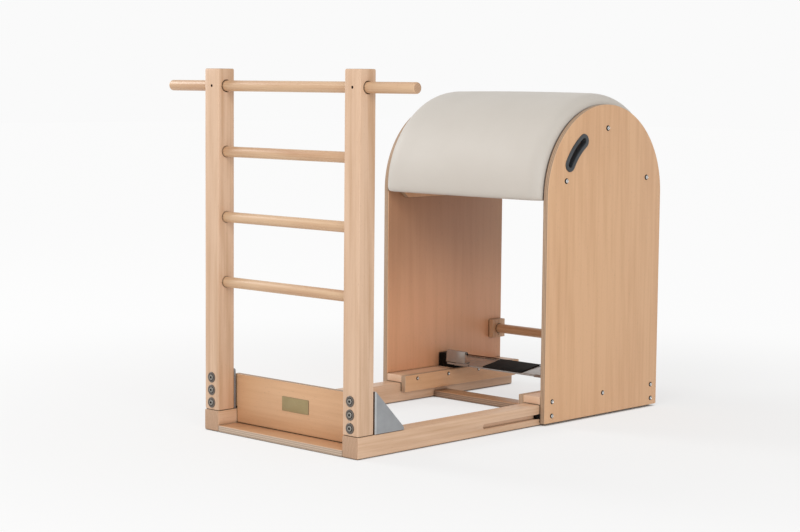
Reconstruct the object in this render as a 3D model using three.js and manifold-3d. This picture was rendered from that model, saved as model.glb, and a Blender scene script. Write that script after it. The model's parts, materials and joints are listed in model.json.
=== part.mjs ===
// Pilates ladder barrel: a four-step wooden ladder on a low frame of two rails, and a padded
// barrel on two side panels that slides along the rails and is held by a sprung foot brake.
// Millimetres. X runs across the ladder, Y from the ladder's front to the barrel, Z up.

import * as THREE from 'three';
import { mergeVertices } from 'three/addons/utils/BufferGeometryUtils.js';
import Module from 'manifold-3d';

const wasm = await Module();
wasm.setup();

// Driving dimensions of the base frame
const baseWidth = 585;
const railWidth = 56;
const railHeight = 56;
const railLength = 1199.6;
const railEdge = 5;
const stepBoardThickness = 17.6;
const crossBoardThickness = 18;
const crossBoardDepth = 60;
const crossBoardRear = 902.6;
const boardEdge = 1.5;
const boardFit = 0.2;
const kickThickness = 18;
const kickTop = 150;
const kickFront = 65.6;
const kickLap = 5.5;
const kickEdge = 2;
const plateLength = 101;
const plateHeight = 38;
const plateThickness = 1.2;
const plateCorner = 1.5;
const plateOffset = -5;
const plateCentreHeight = 92.5;

// Driving dimensions of the ladder
const ladderHeight = 965;
const uprightWidth = 55;
const uprightDepth = 56;
const uprightSetback = 0.8;
const uprightInset = 0.8;
const uprightEdge = 4;
const footGap = 0.4;
const barLength = 919;
const barDiameter = 28.4;
const barDrop = 45.2;
const barEndRound = 5;
const barBoreGap = 1.6;
const boreMouthChamfer = 1.6;
const rungDiameter = 28;
const rungSpacing = 173;
const rungCount = 3;
const rungSocketDepth = 25;
const rungSocketGap = 0.3;
const grubDiameter = 4.6;
const grubSink = 2;
const grubTipGap = 0.3;
const grubHoleGap = 0.3;
const grubKeyDiameter = 2.5;
const grubKeyDepth = 2.2;

// Driving dimensions of the corner brackets and their bolts
const bracketLeg = 108;
const bracketThickness = 5;
const bracketWidth = 48;
const flangeWidth = 61.3;
const bracketBend = 6;
const bracketNose = 7;
const bracketGap = 0.5;
const boltDiameter = 8;
const boltHoleGap = 0.4;
const boltCount = 3;
const boltPitch = 34;
const boltFirstRise = 20;
const boltTail = 6;
const washerDiameter = 28;
const washerRise = 2.4;
const washerRim = 1;
const boltHeadDiameter = 15;
const boltHeadRise = 3.4;
const boltKeyDiameter = 5.5;
const boltKeyDepth = 2.4;

// Driving dimensions of the sliding barrel
const slideTravel = 218;
const slideEndGap = 2.4;
const panelThickness = 17.5;
const panelSideGap = 0.5;
const panelDepth = 508;
const panelFront = 699.8;
const panelFloorGap = 4;
const panelEdge = 2.5;
const panelFootCorner = 6;
const archCentreHeight = 622.8;
const shellRadius = 210.3;
const shellThickness = 8;
const shellLeg = 7;
const formerThickness = 18;
const formerGap = 0.3;
const formerDrop = 26.5;
const formerFootHalf = 186;
const battenDepth = 40;
const battenThickness = 22;
const battenFit = 0.2;
const padCrown = 3;
const padRoll = 31;
const padRollWidth = 44;
const padSideSink = 2.3;
const padEdgeRound = 11;
const padGap = 0.3;
const padFootCrownShare = 0.8;

// Driving dimensions of the hand slots
const handSlotRadius = 185.2;
const handSlotStart = 124;
const handSlotEnd = 151;
const handSlotWidth = 17;
const grommetWall = 2;
const grommetFlange = 9.5;
const grommetFlangeThickness = 2.4;
const grommetFit = 0.2;

// Driving dimensions of the runners, guides and rear dowel
const runnerGap = 0.4;
const runnerThickness = 21.8;
const runnerEdge = 2;
const plankThickness = 18;
const plankSideGap = 2;
const plankDrop = 25.8;
const plankHeelRadius = 22;
const slotHeight = 13;
const slotDepth = 12;
const slotCentreHeight = 25;
const guideSideGap = 0.3;
const guideTipGap = 1.5;
const frontGuideLength = 85;
const frontGuideLead = 12;
const rearGuideLength = 60;
const rearGuideInset = 19.2;
const dowelDiameter = 28;
const dowelCentreHeight = 172.5;
const dowelSocketSize = 56;
const dowelSocketThickness = 17.5;
const dowelSocketInset = 1;
const dowelSocketGap = 0.25;
const dowelEndGap = 0.3;
const socketEdge = 1.5;

// Driving dimensions of the pedal, its pivot and its brakes
const pivotBlockWidth = 62;
const pivotBlockDepth = 64;
const pivotBlockHeight = 41;
const pivotBlockFront = 923.6;
const pivotBlockEdge = 2;
const pivotSetback = 32;
const pivotRise = 22.6;
const shaftDiameter = 12;
const shaftBoreGap = 0.35;
const shaftEndGap = 3;
const pedalTilt = 9;
const pedalPress = 8;
const pedalSheet = 2.5;
const pedalReach = 79.5;
const pedalHeel = 10;
const pedalTopRise = 14;
const pedalLipDepth = 4;
const pedalHeelDepth = 15;
const pedalHem = 2.6;
const earRadius = 12;
const gripHalfLength = 73.7;
const gripThickness = 2.7;
const gripInset = 0.7;
const gripGap = 0.3;
const guardLength = 74;
const guardOverhang = 4.5;
const guardSheet = 2;
const guardHeight = 32;
const guardLean = 6;
const guardRoll = 4.4;
const guardRollEnd = 100;
const guardFootDepth = 22;
const guardGap = 0.3;
const guardLipLength = 50;
const guardLipShift = 17;
const guardLipReach = 9;
const guardLipDrop = 4;
const armThickness = 4;
const armRise = 4;
const armStopGap = 0.3;
const armFlangeHeight = 26;
const armDepth = 48;
const armSideGap = 14;
const shoeLength = 26;
const shoeWidth = 34;
const shoeRubber = 8;
const shoeGap = 0.3;
const shoeSideGap = 2.5;
const springWire = 2.4;
const springTurns = 4;
const springCoilGap = 0.6;
const springShaftGap = 0.35;
const springSideGap = 0.4;
const springSeatGap = 0.3;
const springLeg = 30;
const springFoot = 7;
const springHook = 7;
const springBend = 3;
const springDip = 10;
const springRoom = 16;

// Shared counts of facets and the overrun of every cut
const cutOver = 2;
const roundSides = 24;
const archSteps = 40;
const cornerSteps = 2;
const slotSteps = 8;
const coilSteps = 8;
const wireSides = 5;
const rimShare = 0.8;
const quarter = Math.PI / 2;

// Places worked out from the driving dimensions
const railOuter = baseWidth / 2;
const railInner = railOuter - railWidth;
const uprightOuter = railOuter - uprightInset;
const uprightInner = uprightOuter - uprightWidth;
const uprightCentre = (uprightOuter + uprightInner) / 2;
const uprightRear = uprightSetback + uprightDepth;
const uprightFoot = railHeight + footGap;
const rungY = uprightSetback + uprightDepth / 2;
const barHeight = ladderHeight - barDrop;
const kickRear = kickFront + kickThickness;
const panelInner = railOuter + panelSideGap;
const panelOuter = panelInner + panelThickness;
const panelRear = panelFront + panelDepth;
const archRadius = panelDepth / 2;
const archY = panelFront + archRadius;
const runnerBottom = railHeight + runnerGap;
const runnerTop = runnerBottom + runnerThickness;
const plankOuter = railInner - plankSideGap;
const plankInner = plankOuter - plankThickness;
const slotBottom = slotCentreHeight - slotHeight / 2;
const guideFront = panelFront - frontGuideLead;
const slotFront = guideFront - slideTravel - slideEndGap;
const rearGuideEnd = panelRear - rearGuideInset;
const slotRear = rearGuideEnd + slideEndGap;
const pivotBlockRear = pivotBlockFront + pivotBlockDepth;
const pivotBlockInner = panelInner - pivotBlockWidth;
const pedalHalfLength = pivotBlockInner - springRoom;
const pivotY = pivotBlockFront + pivotSetback;
const pivotZ = runnerTop + pivotRise;
const shellOuter = shellRadius + shellThickness;
const shellFoot = archCentreHeight - shellLeg;
const formerInner = panelInner - formerThickness;

// Materials, with the colours of the object
function finish(color, roughness, metalness = 0) {
  return new THREE.MeshStandardMaterial({ color, roughness, metalness });
}
const maple = finish(0xdcb88f, 0.5);
const plywood = finish(0xd9b083, 0.5);
const beech = finish(0xcf9d6c, 0.5);
const greyPowder = finish(0x8f9294, 0.45, 0.2);
const zincSteel = finish(0xa9a7a3, 0.35, 0.9);
const brass = finish(0xa58a4c, 0.35, 0.8);
const vinyl = finish(0xd5cbc2, 0.45);
const darkPlastic = finish(0x3a3d42, 0.5);
const blackNylon = finish(0x161514, 0.5);
const bareSteel = finish(0x8d8781, 0.35, 0.9);
const blackRubber = finish(0x1c1a19, 0.85);

// Solids and booleans

// A closed mesh as a solid for cutting and joining
function solidOf(geometry) {
  const bare = geometry.clone();
  for (const name of Object.keys(bare.attributes)) {
    if (name !== 'position') bare.deleteAttribute(name);
  }
  const welded = mergeVertices(bare);
  return new wasm.Manifold(new wasm.Mesh({
    numProp: 3,
    vertProperties: new Float32Array(welded.attributes.position.array),
    triVerts: new Uint32Array(welded.index.array),
  }));
}

// A solid back as a mesh
function geometryOf(solid) {
  const mesh = solid.getMesh();
  const geometry = new THREE.BufferGeometry();
  geometry.setAttribute('position', new THREE.BufferAttribute(new Float32Array(mesh.vertProperties), 3));
  geometry.setIndex(new THREE.BufferAttribute(new Uint32Array(mesh.triVerts), 1));
  geometry.computeVertexNormals();
  return geometry;
}

function cutFrom(geometry, ...tools) {
  let solid = solidOf(geometry);
  for (const tool of tools) solid = solid.subtract(solidOf(tool));
  return geometryOf(solid);
}

function joined(...geometries) {
  let solid = solidOf(geometries[0]);
  for (const extra of geometries.slice(1)) solid = solid.add(solidOf(extra));
  return geometryOf(solid);
}

// Outlines and prisms

function outlineOf(points) {
  return new THREE.Shape(points.map(([a, b]) => new THREE.Vector2(a, b)));
}

// The points of an arc, both ends among them
function arcOf(a, b, radius, start, end, steps) {
  return Array.from({ length: steps + 1 }, (_, step) => {
    const angle = start + (end - start) * step / steps;
    return [a + radius * Math.cos(angle), b + radius * Math.sin(angle)];
  });
}

function roundedRectangle(a0, a1, b0, b1, radius, steps = cornerSteps) {
  return outlineOf([
    ...arcOf(a1 - radius, b0 + radius, radius, -quarter, 0, steps),
    ...arcOf(a1 - radius, b1 - radius, radius, 0, quarter, steps),
    ...arcOf(a0 + radius, b1 - radius, radius, quarter, 2 * quarter, steps),
    ...arcOf(a0 + radius, b0 + radius, radius, 2 * quarter, 3 * quarter, steps),
  ]);
}

// An outline in (X, Y) carried from one height to another, with its rims rounded by edge
function prismZ(shape, z0, z1, edge = 0) {
  const geometry = new THREE.ExtrudeGeometry(shape, {
    depth: z1 - z0 - 2 * edge,
    bevelEnabled: edge > 0,
    bevelThickness: edge,
    bevelSize: edge,
    bevelOffset: -edge,
    bevelSegments: 1,
  });
  return geometry.translate(0, 0, z0 + edge);
}

// An outline in (Y, Z) carried along X
function prismX(shape, x0, x1, edge = 0) {
  const turn = new THREE.Matrix4().set(0, 0, 1, 0, 1, 0, 0, 0, 0, 1, 0, 0, 0, 0, 0, 1);
  return prismZ(shape, x0, x1, edge).applyMatrix4(turn);
}

// An outline in (X, Z) carried along Y
function prismY(shape, y0, y1, edge = 0) {
  const turn = new THREE.Matrix4().set(1, 0, 0, 0, 0, 0, -1, 0, 0, 1, 0, 0, 0, 0, 0, 1);
  return prismZ(shape, -y1, -y0, edge).applyMatrix4(turn);
}

// A straight timber or board with all its edges rounded, long in Z, X or Y
function timberZ(x0, x1, y0, y1, z0, z1, edge) {
  return prismZ(roundedRectangle(x0, x1, y0, y1, edge), z0, z1, edge * rimShare);
}

function timberX(x0, x1, y0, y1, z0, z1, edge) {
  return prismX(roundedRectangle(y0, y1, z0, z1, edge), x0, x1, edge * rimShare);
}

function timberY(x0, x1, y0, y1, z0, z1, edge) {
  return prismY(roundedRectangle(x0, x1, z0, z1, edge), y0, y1, edge * rimShare);
}

function blockOf(x0, x1, y0, y1, z0, z1) {
  const block = new THREE.BoxGeometry(x1 - x0, y1 - y0, z1 - z0);
  return block.translate((x0 + x1) / 2, (y0 + y1) / 2, (z0 + z1) / 2);
}

// Round bars, their ends set by a profile of radius against length
function turnedX(profile, x0, y, z, sides = roundSides) {
  const points = profile.map(([radius, along]) => new THREE.Vector2(radius, along));
  const turned = new THREE.LatheGeometry(points, sides);
  return turned.rotateZ(-quarter).translate(x0, y, z);
}

function turnedY(profile, x, y0, z, sides = roundSides) {
  const points = profile.map(([radius, along]) => new THREE.Vector2(radius, along));
  return new THREE.LatheGeometry(points, sides).translate(x, y0, z);
}

function dowelProfile(radius, length, round) {
  const low = arcOf(radius - round, round, round, -quarter, 0, cornerSteps);
  const high = arcOf(radius - round, length - round, round, 0, quarter, cornerSteps);
  return [[0, 0], ...low, ...high, [0, length]];
}

function pinX(x0, x1, y, z, radius, round = 0) {
  const plain = [[0, 0], [radius, 0], [radius, x1 - x0], [0, x1 - x0]];
  return turnedX(round > 0 ? dowelProfile(radius, x1 - x0, round) : plain, x0, y, z);
}

function pinY(x, y0, y1, z, radius) {
  return turnedY([[0, 0], [radius, 0], [radius, y1 - y0], [0, y1 - y0]], x, y0, z);
}

// The hexagon of a key hole, cut from the front towards +Y
function keyHoleY(x, y0, depth, z, acrossFlats) {
  const cornerRadius = acrossFlats / Math.sqrt(3);
  const profile = [[0, -cutOver], [cornerRadius, -cutOver], [cornerRadius, depth], [0, depth]];
  return turnedY(profile, x, y0, z, 6);
}

// The whole part, with each piece as its own named mesh
const ladderBarrel = new THREE.Group();

function addPiece(name, geometry, material, group = ladderBarrel) {
  const piece = new THREE.Mesh(geometry, material);
  piece.name = name;
  group.add(piece);
  return piece;
}

const sides = [['left', -1], ['right', 1]];

// A geometry drawn for the right side, mirrored with its faces turned back for the left
function forSide(geometry, sign) {
  if (sign > 0) return geometry;
  const mirrored = geometry.index ? geometry.toNonIndexed() : geometry.clone();
  mirrored.scale(-1, 1, 1);
  const corners = mirrored.attributes.position.array;
  for (let start = 0; start < corners.length; start += 9) {
    for (let axis = 0; axis < 3; axis += 1) {
      const held = corners[start + 3 + axis];
      corners[start + 3 + axis] = corners[start + 6 + axis];
      corners[start + 6 + axis] = held;
    }
  }
  mirrored.computeVertexNormals();
  return mirrored;
}

// Base frame

// A rail with the guide slot routed in its outer face
function railGeometry() {
  const rail = timberY(railInner, railOuter, 0, railLength, 0, railHeight, railEdge);
  const slotTop = slotBottom + slotHeight;
  const slot = roundedRectangle(slotFront, slotRear, slotBottom, slotTop, slotHeight / 2 - boardFit);
  return cutFrom(rail, prismX(slot, railOuter - slotDepth, railOuter + cutOver));
}

function makeBase() {
  const rail = railGeometry();
  for (const [side, sign] of sides) addPiece(`rail_${side}`, forSide(rail, sign), maple);
  const boardHalf = railInner - boardFit;
  const step = timberX(-boardHalf, boardHalf, 0, kickRear, 0, stepBoardThickness, boardEdge);
  addPiece('front_step_board', step, plywood);
  const crossFront = crossBoardRear - crossBoardDepth;
  const cross = timberX(-boardHalf, boardHalf, crossFront, crossBoardRear, 0, crossBoardThickness, boardEdge);
  addPiece('rear_cross_board', cross, plywood);
  makeKickPanel(boardHalf);
}

// The upright board behind the step, notched round the rails, with its bare plate
function makeKickPanel(boardHalf) {
  const wide = railInner + kickLap;
  const notch = railHeight + footGap;
  const bottom = stepBoardThickness;
  const outline = outlineOf([
    [-boardHalf, bottom], [boardHalf, bottom], [boardHalf, notch], [wide, notch],
    [wide, kickTop], [-wide, kickTop], [-wide, notch], [-boardHalf, notch],
  ]);
  addPiece('kick_panel', prismY(outline, kickFront, kickRear, kickEdge), plywood);
  const low = plateCentreHeight - plateHeight / 2;
  const plate = roundedRectangle(
    plateOffset - plateLength / 2, plateOffset + plateLength / 2, low, low + plateHeight, plateCorner);
  addPiece('name_plate', prismY(plate, kickFront - plateThickness, kickFront), brass);
}

// Ladder

function boltHeights() {
  return Array.from({ length: boltCount }, (_, index) => railHeight + boltFirstRise + index * boltPitch);
}

function rungHeights() {
  return Array.from({ length: rungCount }, (_, index) => barHeight - (index + 1) * rungSpacing);
}

// A bore through the upright for the top bar, opened out at both mouths
function barBore() {
  const bore = barDiameter / 2 + barBoreGap;
  const mouth = bore + boreMouthChamfer;
  const profile = [
    [0, -cutOver], [mouth, -cutOver], [mouth, 0], [bore, boreMouthChamfer],
    [bore, uprightWidth - boreMouthChamfer], [mouth, uprightWidth],
    [mouth, uprightWidth + cutOver], [0, uprightWidth + cutOver],
  ];
  return turnedX(profile, uprightInner, rungY, barHeight);
}

function uprightGeometry() {
  const post = timberZ(
    uprightInner, uprightOuter, uprightSetback, uprightRear, uprightFoot, ladderHeight, uprightEdge);
  const cuts = [barBore()];
  const socketEnd = uprightInner + rungSocketDepth + rungSocketGap;
  for (const height of rungHeights()) {
    const radius = rungDiameter / 2 + rungSocketGap;
    cuts.push(pinX(uprightInner - cutOver, socketEnd, rungY, height, radius));
  }
  for (const height of boltHeights()) {
    const radius = boltDiameter / 2 + boltHoleGap;
    cuts.push(pinY(uprightCentre, uprightSetback - cutOver, uprightRear + cutOver, height, radius));
  }
  const grubHole = grubDiameter / 2 + grubHoleGap;
  cuts.push(pinY(uprightCentre, uprightSetback - cutOver, rungY, barHeight, grubHole));
  return cutFrom(post, ...cuts);
}

// A socket-headed bolt, its dished washer drawn as a piece with it
function boltGeometry(height) {
  const reach = uprightDepth + bracketGap + bracketThickness + boltTail;
  const rim = washerDiameter / 2;
  const head = boltHeadDiameter / 2;
  const shank = boltDiameter / 2;
  const profile = [
    [0, -boltHeadRise], [head - washerRim, -boltHeadRise], [head, -washerRise],
    [rim - washerRim, -washerRim], [rim, 0], [shank, 0], [shank, reach], [0, reach],
  ];
  const bolt = turnedY(profile, uprightCentre, uprightSetback, height);
  const key = keyHoleY(uprightCentre, uprightSetback - boltHeadRise, boltKeyDepth, height, boltKeyDiameter);
  return cutFrom(bolt, key);
}

function grubGeometry() {
  const front = uprightSetback + grubSink;
  const tip = rungY - barDiameter / 2 - grubTipGap;
  const grub = pinY(uprightCentre, front, tip, barHeight, grubDiameter / 2);
  return cutFrom(grub, keyHoleY(uprightCentre, front, grubKeyDepth, barHeight, grubKeyDiameter));
}

function makeLadder() {
  const upright = uprightGeometry();
  const bolts = boltHeights().map(boltGeometry);
  const grub = grubGeometry();
  for (const [side, sign] of sides) {
    addPiece(`upright_${side}`, forSide(upright, sign), maple);
    bolts.forEach((bolt, index) => {
      addPiece(`upright_bolt_${side}_${index + 1}`, forSide(bolt, sign), zincSteel);
    });
    addPiece(`grub_screw_${side}`, forSide(grub, sign), zincSteel);
  }
  const bar = pinX(-barLength / 2, barLength / 2, rungY, barHeight, barDiameter / 2, barEndRound);
  addPiece('top_bar', bar, beech);
  const rungEnd = uprightInner + rungSocketDepth;
  rungHeights().forEach((height, index) => {
    const rung = pinX(-rungEnd, rungEnd, rungY, height, rungDiameter / 2);
    addPiece(`rung_${index + 1}`, rung, beech);
  });
}

// Corner brackets: a bolted flange, a floor flange and a triangular web folded from one plate

function bracketGeometry() {
  const back = uprightRear + bracketGap;
  const foot = railHeight + bracketGap;
  const top = foot + bracketLeg;
  const tip = back + bracketLeg;
  const outer = railOuter - uprightInset;
  const inner = outer - bracketWidth;
  const web = outlineOf([
    [back, foot], [tip, foot], [tip, foot + bracketNose],
    [back + bracketNose, top], [back, top],
  ]);
  const webPlate = prismX(web, outer - bracketThickness, outer);
  const flangeInner = outer - flangeWidth;
  const flangeRear = back + bracketThickness;
  const flange = prismY(roundedRectangle(flangeInner, outer, foot, top, bracketBend), back, flangeRear);
  const squareFoot = blockOf(flangeInner, outer, back, flangeRear, foot, foot + bracketLeg / 2);
  const sole = prismZ(
    roundedRectangle(inner, outer, back, tip, bracketThickness), foot, foot + bracketThickness);
  const squareSole = blockOf(inner, outer, back, back + bracketLeg / 2, foot, foot + bracketThickness);
  const holes = boltHeights().map((height) => {
    const radius = boltDiameter / 2 + boltHoleGap;
    return pinY(uprightCentre, back - cutOver, flangeRear + cutOver, height, radius);
  });
  // The fold between flange and web is rounded on its outside
  const bend = bracketBend;
  const corner = blockOf(
    outer - bend, outer + cutOver, back - cutOver, back + bend, foot - cutOver, top + cutOver);
  const roll = prismZ(roundedRectangle(
    outer - 2 * bend, outer, back, back + 2 * bend, bend - boardFit), foot - 2 * cutOver, top + 2 * cutOver);
  const body = joined(webPlate, flange, squareFoot, sole, squareSole);
  return cutFrom(body, cutFrom(corner, roll), ...holes);
}

// Barrel

// The arched outline of a side panel, standing on rounded toes
function panelOutline() {
  const foot = panelFloorGap;
  const round = panelFootCorner;
  return outlineOf([
    ...arcOf(panelRear - round, foot + round, round, -quarter, 0, cornerSteps),
    ...arcOf(archY, archCentreHeight, archRadius, 0, 2 * quarter, archSteps),
    ...arcOf(panelFront + round, foot + round, round, 2 * quarter, 3 * quarter, cornerSteps),
  ]);
}

// A slot that follows the arch, with round ends
function handSlotOutline(width) {
  const start = THREE.MathUtils.degToRad(handSlotStart);
  const end = THREE.MathUtils.degToRad(handSlotEnd);
  const half = width / 2;
  const endY = archY + handSlotRadius * Math.cos(end);
  const endZ = archCentreHeight + handSlotRadius * Math.sin(end);
  const startY = archY + handSlotRadius * Math.cos(start);
  const startZ = archCentreHeight + handSlotRadius * Math.sin(start);
  return outlineOf([
    ...arcOf(archY, archCentreHeight, handSlotRadius + half, start, end, slotSteps),
    ...arcOf(endY, endZ, half, end, end + Math.PI, slotSteps).slice(1, -1),
    ...arcOf(archY, archCentreHeight, handSlotRadius - half, end, start, slotSteps),
    ...arcOf(startY, startZ, half, start + Math.PI, start + 2 * Math.PI, slotSteps).slice(1, -1),
  ]);
}

function panelGeometry() {
  const plain = prismX(panelOutline(), panelInner, panelOuter, panelEdge);
  const slot = handSlotOutline(handSlotWidth + 2 * grommetWall + 2 * grommetFit);
  return cutFrom(plain, prismX(slot, panelInner - cutOver, panelOuter + cutOver));
}

// A flanged plastic lining of the hand slot
function grommetGeometry() {
  const flange = prismX(
    handSlotOutline(handSlotWidth + 2 * grommetWall + 2 * grommetFlange),
    panelOuter, panelOuter + grommetFlangeThickness, grommetFlangeThickness / 3);
  const sleeve = prismX(
    handSlotOutline(handSlotWidth + 2 * grommetWall), panelInner, panelOuter + grommetFlangeThickness / 2);
  const hole = prismX(
    handSlotOutline(handSlotWidth), panelInner - cutOver, panelOuter + grommetFlangeThickness + cutOver);
  return cutFrom(joined(flange, sleeve), hole);
}

// An arched board against each panel that carries the shell
function formerGeometry() {
  const radius = shellRadius - formerGap;
  const foot = archCentreHeight - formerDrop;
  const shoulder = Math.asin(shellLeg / radius);
  const outline = outlineOf([
    [archY - formerFootHalf, foot], [archY + formerFootHalf, foot],
    ...arcOf(archY, archCentreHeight, radius, -shoulder, Math.PI + shoulder, archSteps),
  ]);
  const board = prismX(outline, formerInner, panelInner, boardEdge);
  const slot = handSlotOutline(handSlotWidth + 2 * grommetWall + 2 * grommetFit);
  return cutFrom(board, prismX(slot, formerInner - cutOver, panelInner + cutOver));
}

// An arch of one radius that ends in short straight legs
function archRing(inner, outer, foot) {
  return outlineOf([
    [archY + inner, foot], [archY + outer, foot],
    ...arcOf(archY, archCentreHeight, outer, 0, Math.PI, archSteps),
    [archY - outer, foot], [archY - inner, foot],
    ...arcOf(archY, archCentreHeight, inner, Math.PI, 0, archSteps),
  ]);
}

// The battens lie under the shell between the two arched boards
function makeBattens() {
  const half = formerInner - battenFit;
  const reach = shellRadius - formerGap;
  const topHeight = archCentreHeight + Math.sqrt(reach ** 2 - (battenDepth / 2) ** 2);
  const topLow = topHeight - battenThickness;
  const top = timberX(
    -half, half, archY - battenDepth / 2, archY + battenDepth / 2, topLow, topHeight, boardEdge);
  addPiece('shell_batten_top', top, maple);
  const lowTop = shellFoot + battenDepth;
  const lowReach = Math.sqrt(reach ** 2 - (lowTop - archCentreHeight) ** 2);
  const low = (y0, y1) => timberX(-half, half, y0, y1, shellFoot, lowTop, boardEdge);
  addPiece('shell_batten_front', low(archY - lowReach, archY - lowReach + battenThickness), maple);
  addPiece('shell_batten_rear', low(archY + lowReach - battenThickness, archY + lowReach), maple);
}

// The pad: foam and cover over the shell, crowned across its width, rolled down at its ends

// Height of the cover above its end edge, at x along the pad and share of the full crown
function padSwell(x, half, share) {
  const past = Math.max(0, Math.abs(x) - (half - padRollWidth)) / padRollWidth;
  const roll = padRoll * Math.sqrt(Math.max(0, 1 - past ** 2));
  return share * (roll + padCrown * (1 - (x / half) ** 2));
}

// The rows of the arch from the front foot over the crown to the rear foot: each row has a
// direction, a height, and how far the cover is drawn in at the foot's rounded rim
function padRows() {
  const rows = [];
  const rimSteps = 4;
  for (let step = 0; step < rimSteps; step += 1) {
    const angle = step / rimSteps * quarter;
    rows.push({
      angle: Math.PI,
      drop: shellLeg - padEdgeRound * (1 - Math.cos(angle)),
      drawn: padEdgeRound * (1 - Math.sin(angle)),
    });
  }
  const rise = Math.max(0, padEdgeRound - shellLeg);
  for (let step = 0; step <= archSteps; step += 1) {
    const angle = Math.PI * (1 - step / archSteps);
    const drawn = Math.abs(Math.cos(angle)) === 1 ? Math.min(rise, padGap) : 0;
    rows.push({ angle, drop: 0, drawn });
  }
  const frontRim = rows.slice(0, rimSteps).reverse();
  for (const row of frontRim) rows.push({ ...row, angle: 0 });
  return rows;
}

function padGeometry() {
  const half = panelInner - padGap;
  const base = archRadius - padSideSink;
  const inner = shellOuter + padGap;
  const acrossSteps = 5;
  const xs = [];
  for (let step = 0; step <= acrossSteps; step += 1) {
    const swing = step / acrossSteps * quarter;
    xs.push(-half + padRollWidth * (1 - Math.cos(swing)));
  }
  const flatSteps = 6;
  const flatHalf = half - padRollWidth;
  for (let step = 1; step < flatSteps; step += 1) xs.push(-flatHalf + 2 * flatHalf * step / flatSteps);
  const mirrored = xs.slice(0, acrossSteps + 1).reverse();
  for (const x of mirrored) xs.push(-x);
  const rows = padRows();
  const points = [];
  const across = xs.length;
  for (const { angle, drop, drawn } of rows) {
    const share = padFootCrownShare + (1 - padFootCrownShare) * Math.sin(angle) ** 0.9;
    for (const x of xs) {
      const radius = base + padSwell(x, half, share) - drawn;
      points.push([x, archY + radius * Math.cos(angle), archCentreHeight - drop + radius * Math.sin(angle)]);
    }
  }
  const innerStart = points.length;
  for (const { angle, drop } of rows) {
    for (const x of [-half, half]) {
      points.push([x, archY + inner * Math.cos(angle), archCentreHeight - drop + inner * Math.sin(angle)]);
    }
  }
  const faces = [];
  const outerAt = (row, column) => row * across + column;
  const innerAt = (row, column) => innerStart + row * 2 + column;
  for (let row = 0; row + 1 < rows.length; row += 1) {
    for (let column = 0; column + 1 < across; column += 1) {
      faces.push([outerAt(row, column), outerAt(row, column + 1), outerAt(row + 1, column + 1)]);
      faces.push([outerAt(row, column), outerAt(row + 1, column + 1), outerAt(row + 1, column)]);
    }
    faces.push([innerAt(row, 0), innerAt(row + 1, 1), innerAt(row, 1)]);
    faces.push([innerAt(row, 0), innerAt(row + 1, 0), innerAt(row + 1, 1)]);
    const last = across - 1;
    faces.push([outerAt(row, 0), outerAt(row + 1, 0), innerAt(row + 1, 0)]);
    faces.push([outerAt(row, 0), innerAt(row + 1, 0), innerAt(row, 0)]);
    faces.push([outerAt(row, last), innerAt(row + 1, 1), outerAt(row + 1, last)]);
    faces.push([outerAt(row, last), innerAt(row, 1), innerAt(row + 1, 1)]);
  }
  for (const [row, turned] of [[0, false], [rows.length - 1, true]]) {
    const foot = [];
    for (let column = 0; column + 1 < across; column += 1) {
      foot.push([outerAt(row, column + 1), outerAt(row, column), innerAt(row, 0)]);
    }
    foot.push([outerAt(row, across - 1), innerAt(row, 0), innerAt(row, 1)]);
    for (const [a, b, c] of foot) faces.push(turned ? [a, c, b] : [a, b, c]);
  }
  const geometry = new THREE.BufferGeometry();
  geometry.setAttribute('position', new THREE.Float32BufferAttribute(points.flat(), 3));
  geometry.setIndex(faces.flat());
  geometry.computeVertexNormals();
  return geometry;
}

// Runners, planks and guides that ride on the rails

function brakeWindow() {
  const { shoeX0, shoeX1, shoeY0, shoeY1, shoeSwing } = brakePlaces();
  return blockOf(
    shoeX0 - shoeSideGap, shoeX1 + shoeSideGap, shoeY0 - shoeSideGap, shoeY1 + shoeSwing + shoeSideGap,
    runnerBottom - cutOver, runnerTop + cutOver);
}

function makeRunners() {
  const runner = cutFrom(
    timberY(plankOuter, panelInner, panelFront, panelRear, runnerBottom, runnerTop, runnerEdge), brakeWindow());
  const plankFoot = runnerTop - runnerThickness - plankDrop;
  const heelY = panelRear - plankHeelRadius;
  const heel = outlineOf([
    [panelFront, plankFoot],
    ...arcOf(heelY, plankFoot + plankHeelRadius, plankHeelRadius, -quarter, 0, 3 * cornerSteps),
    [panelRear, runnerTop], [panelFront, runnerTop],
  ]);
  const plank = prismX(heel, plankInner, plankOuter, boardEdge);
  const tip = railOuter - slotDepth + guideTipGap;
  const guideLow = slotBottom + guideSideGap;
  const guideHigh = slotBottom + slotHeight - guideSideGap;
  const guideRound = (guideHigh - guideLow) / 2 - boardFit;
  const guide = (y0, y1) => prismX(roundedRectangle(y0, y1, guideLow, guideHigh, guideRound), tip, panelInner);
  const frontGuide = guide(guideFront, guideFront + frontGuideLength);
  const rearGuide = guide(rearGuideEnd - rearGuideLength, rearGuideEnd);
  for (const [side, sign] of sides) {
    addPiece(`runner_board_${side}`, forSide(runner, sign), maple);
    addPiece(`inner_plank_${side}`, forSide(plank, sign), plywood);
    addPiece(`slot_guide_front_${side}`, forSide(frontGuide, sign), blackNylon);
    addPiece(`slot_guide_rear_${side}`, forSide(rearGuide, sign), blackNylon);
  }
}

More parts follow.
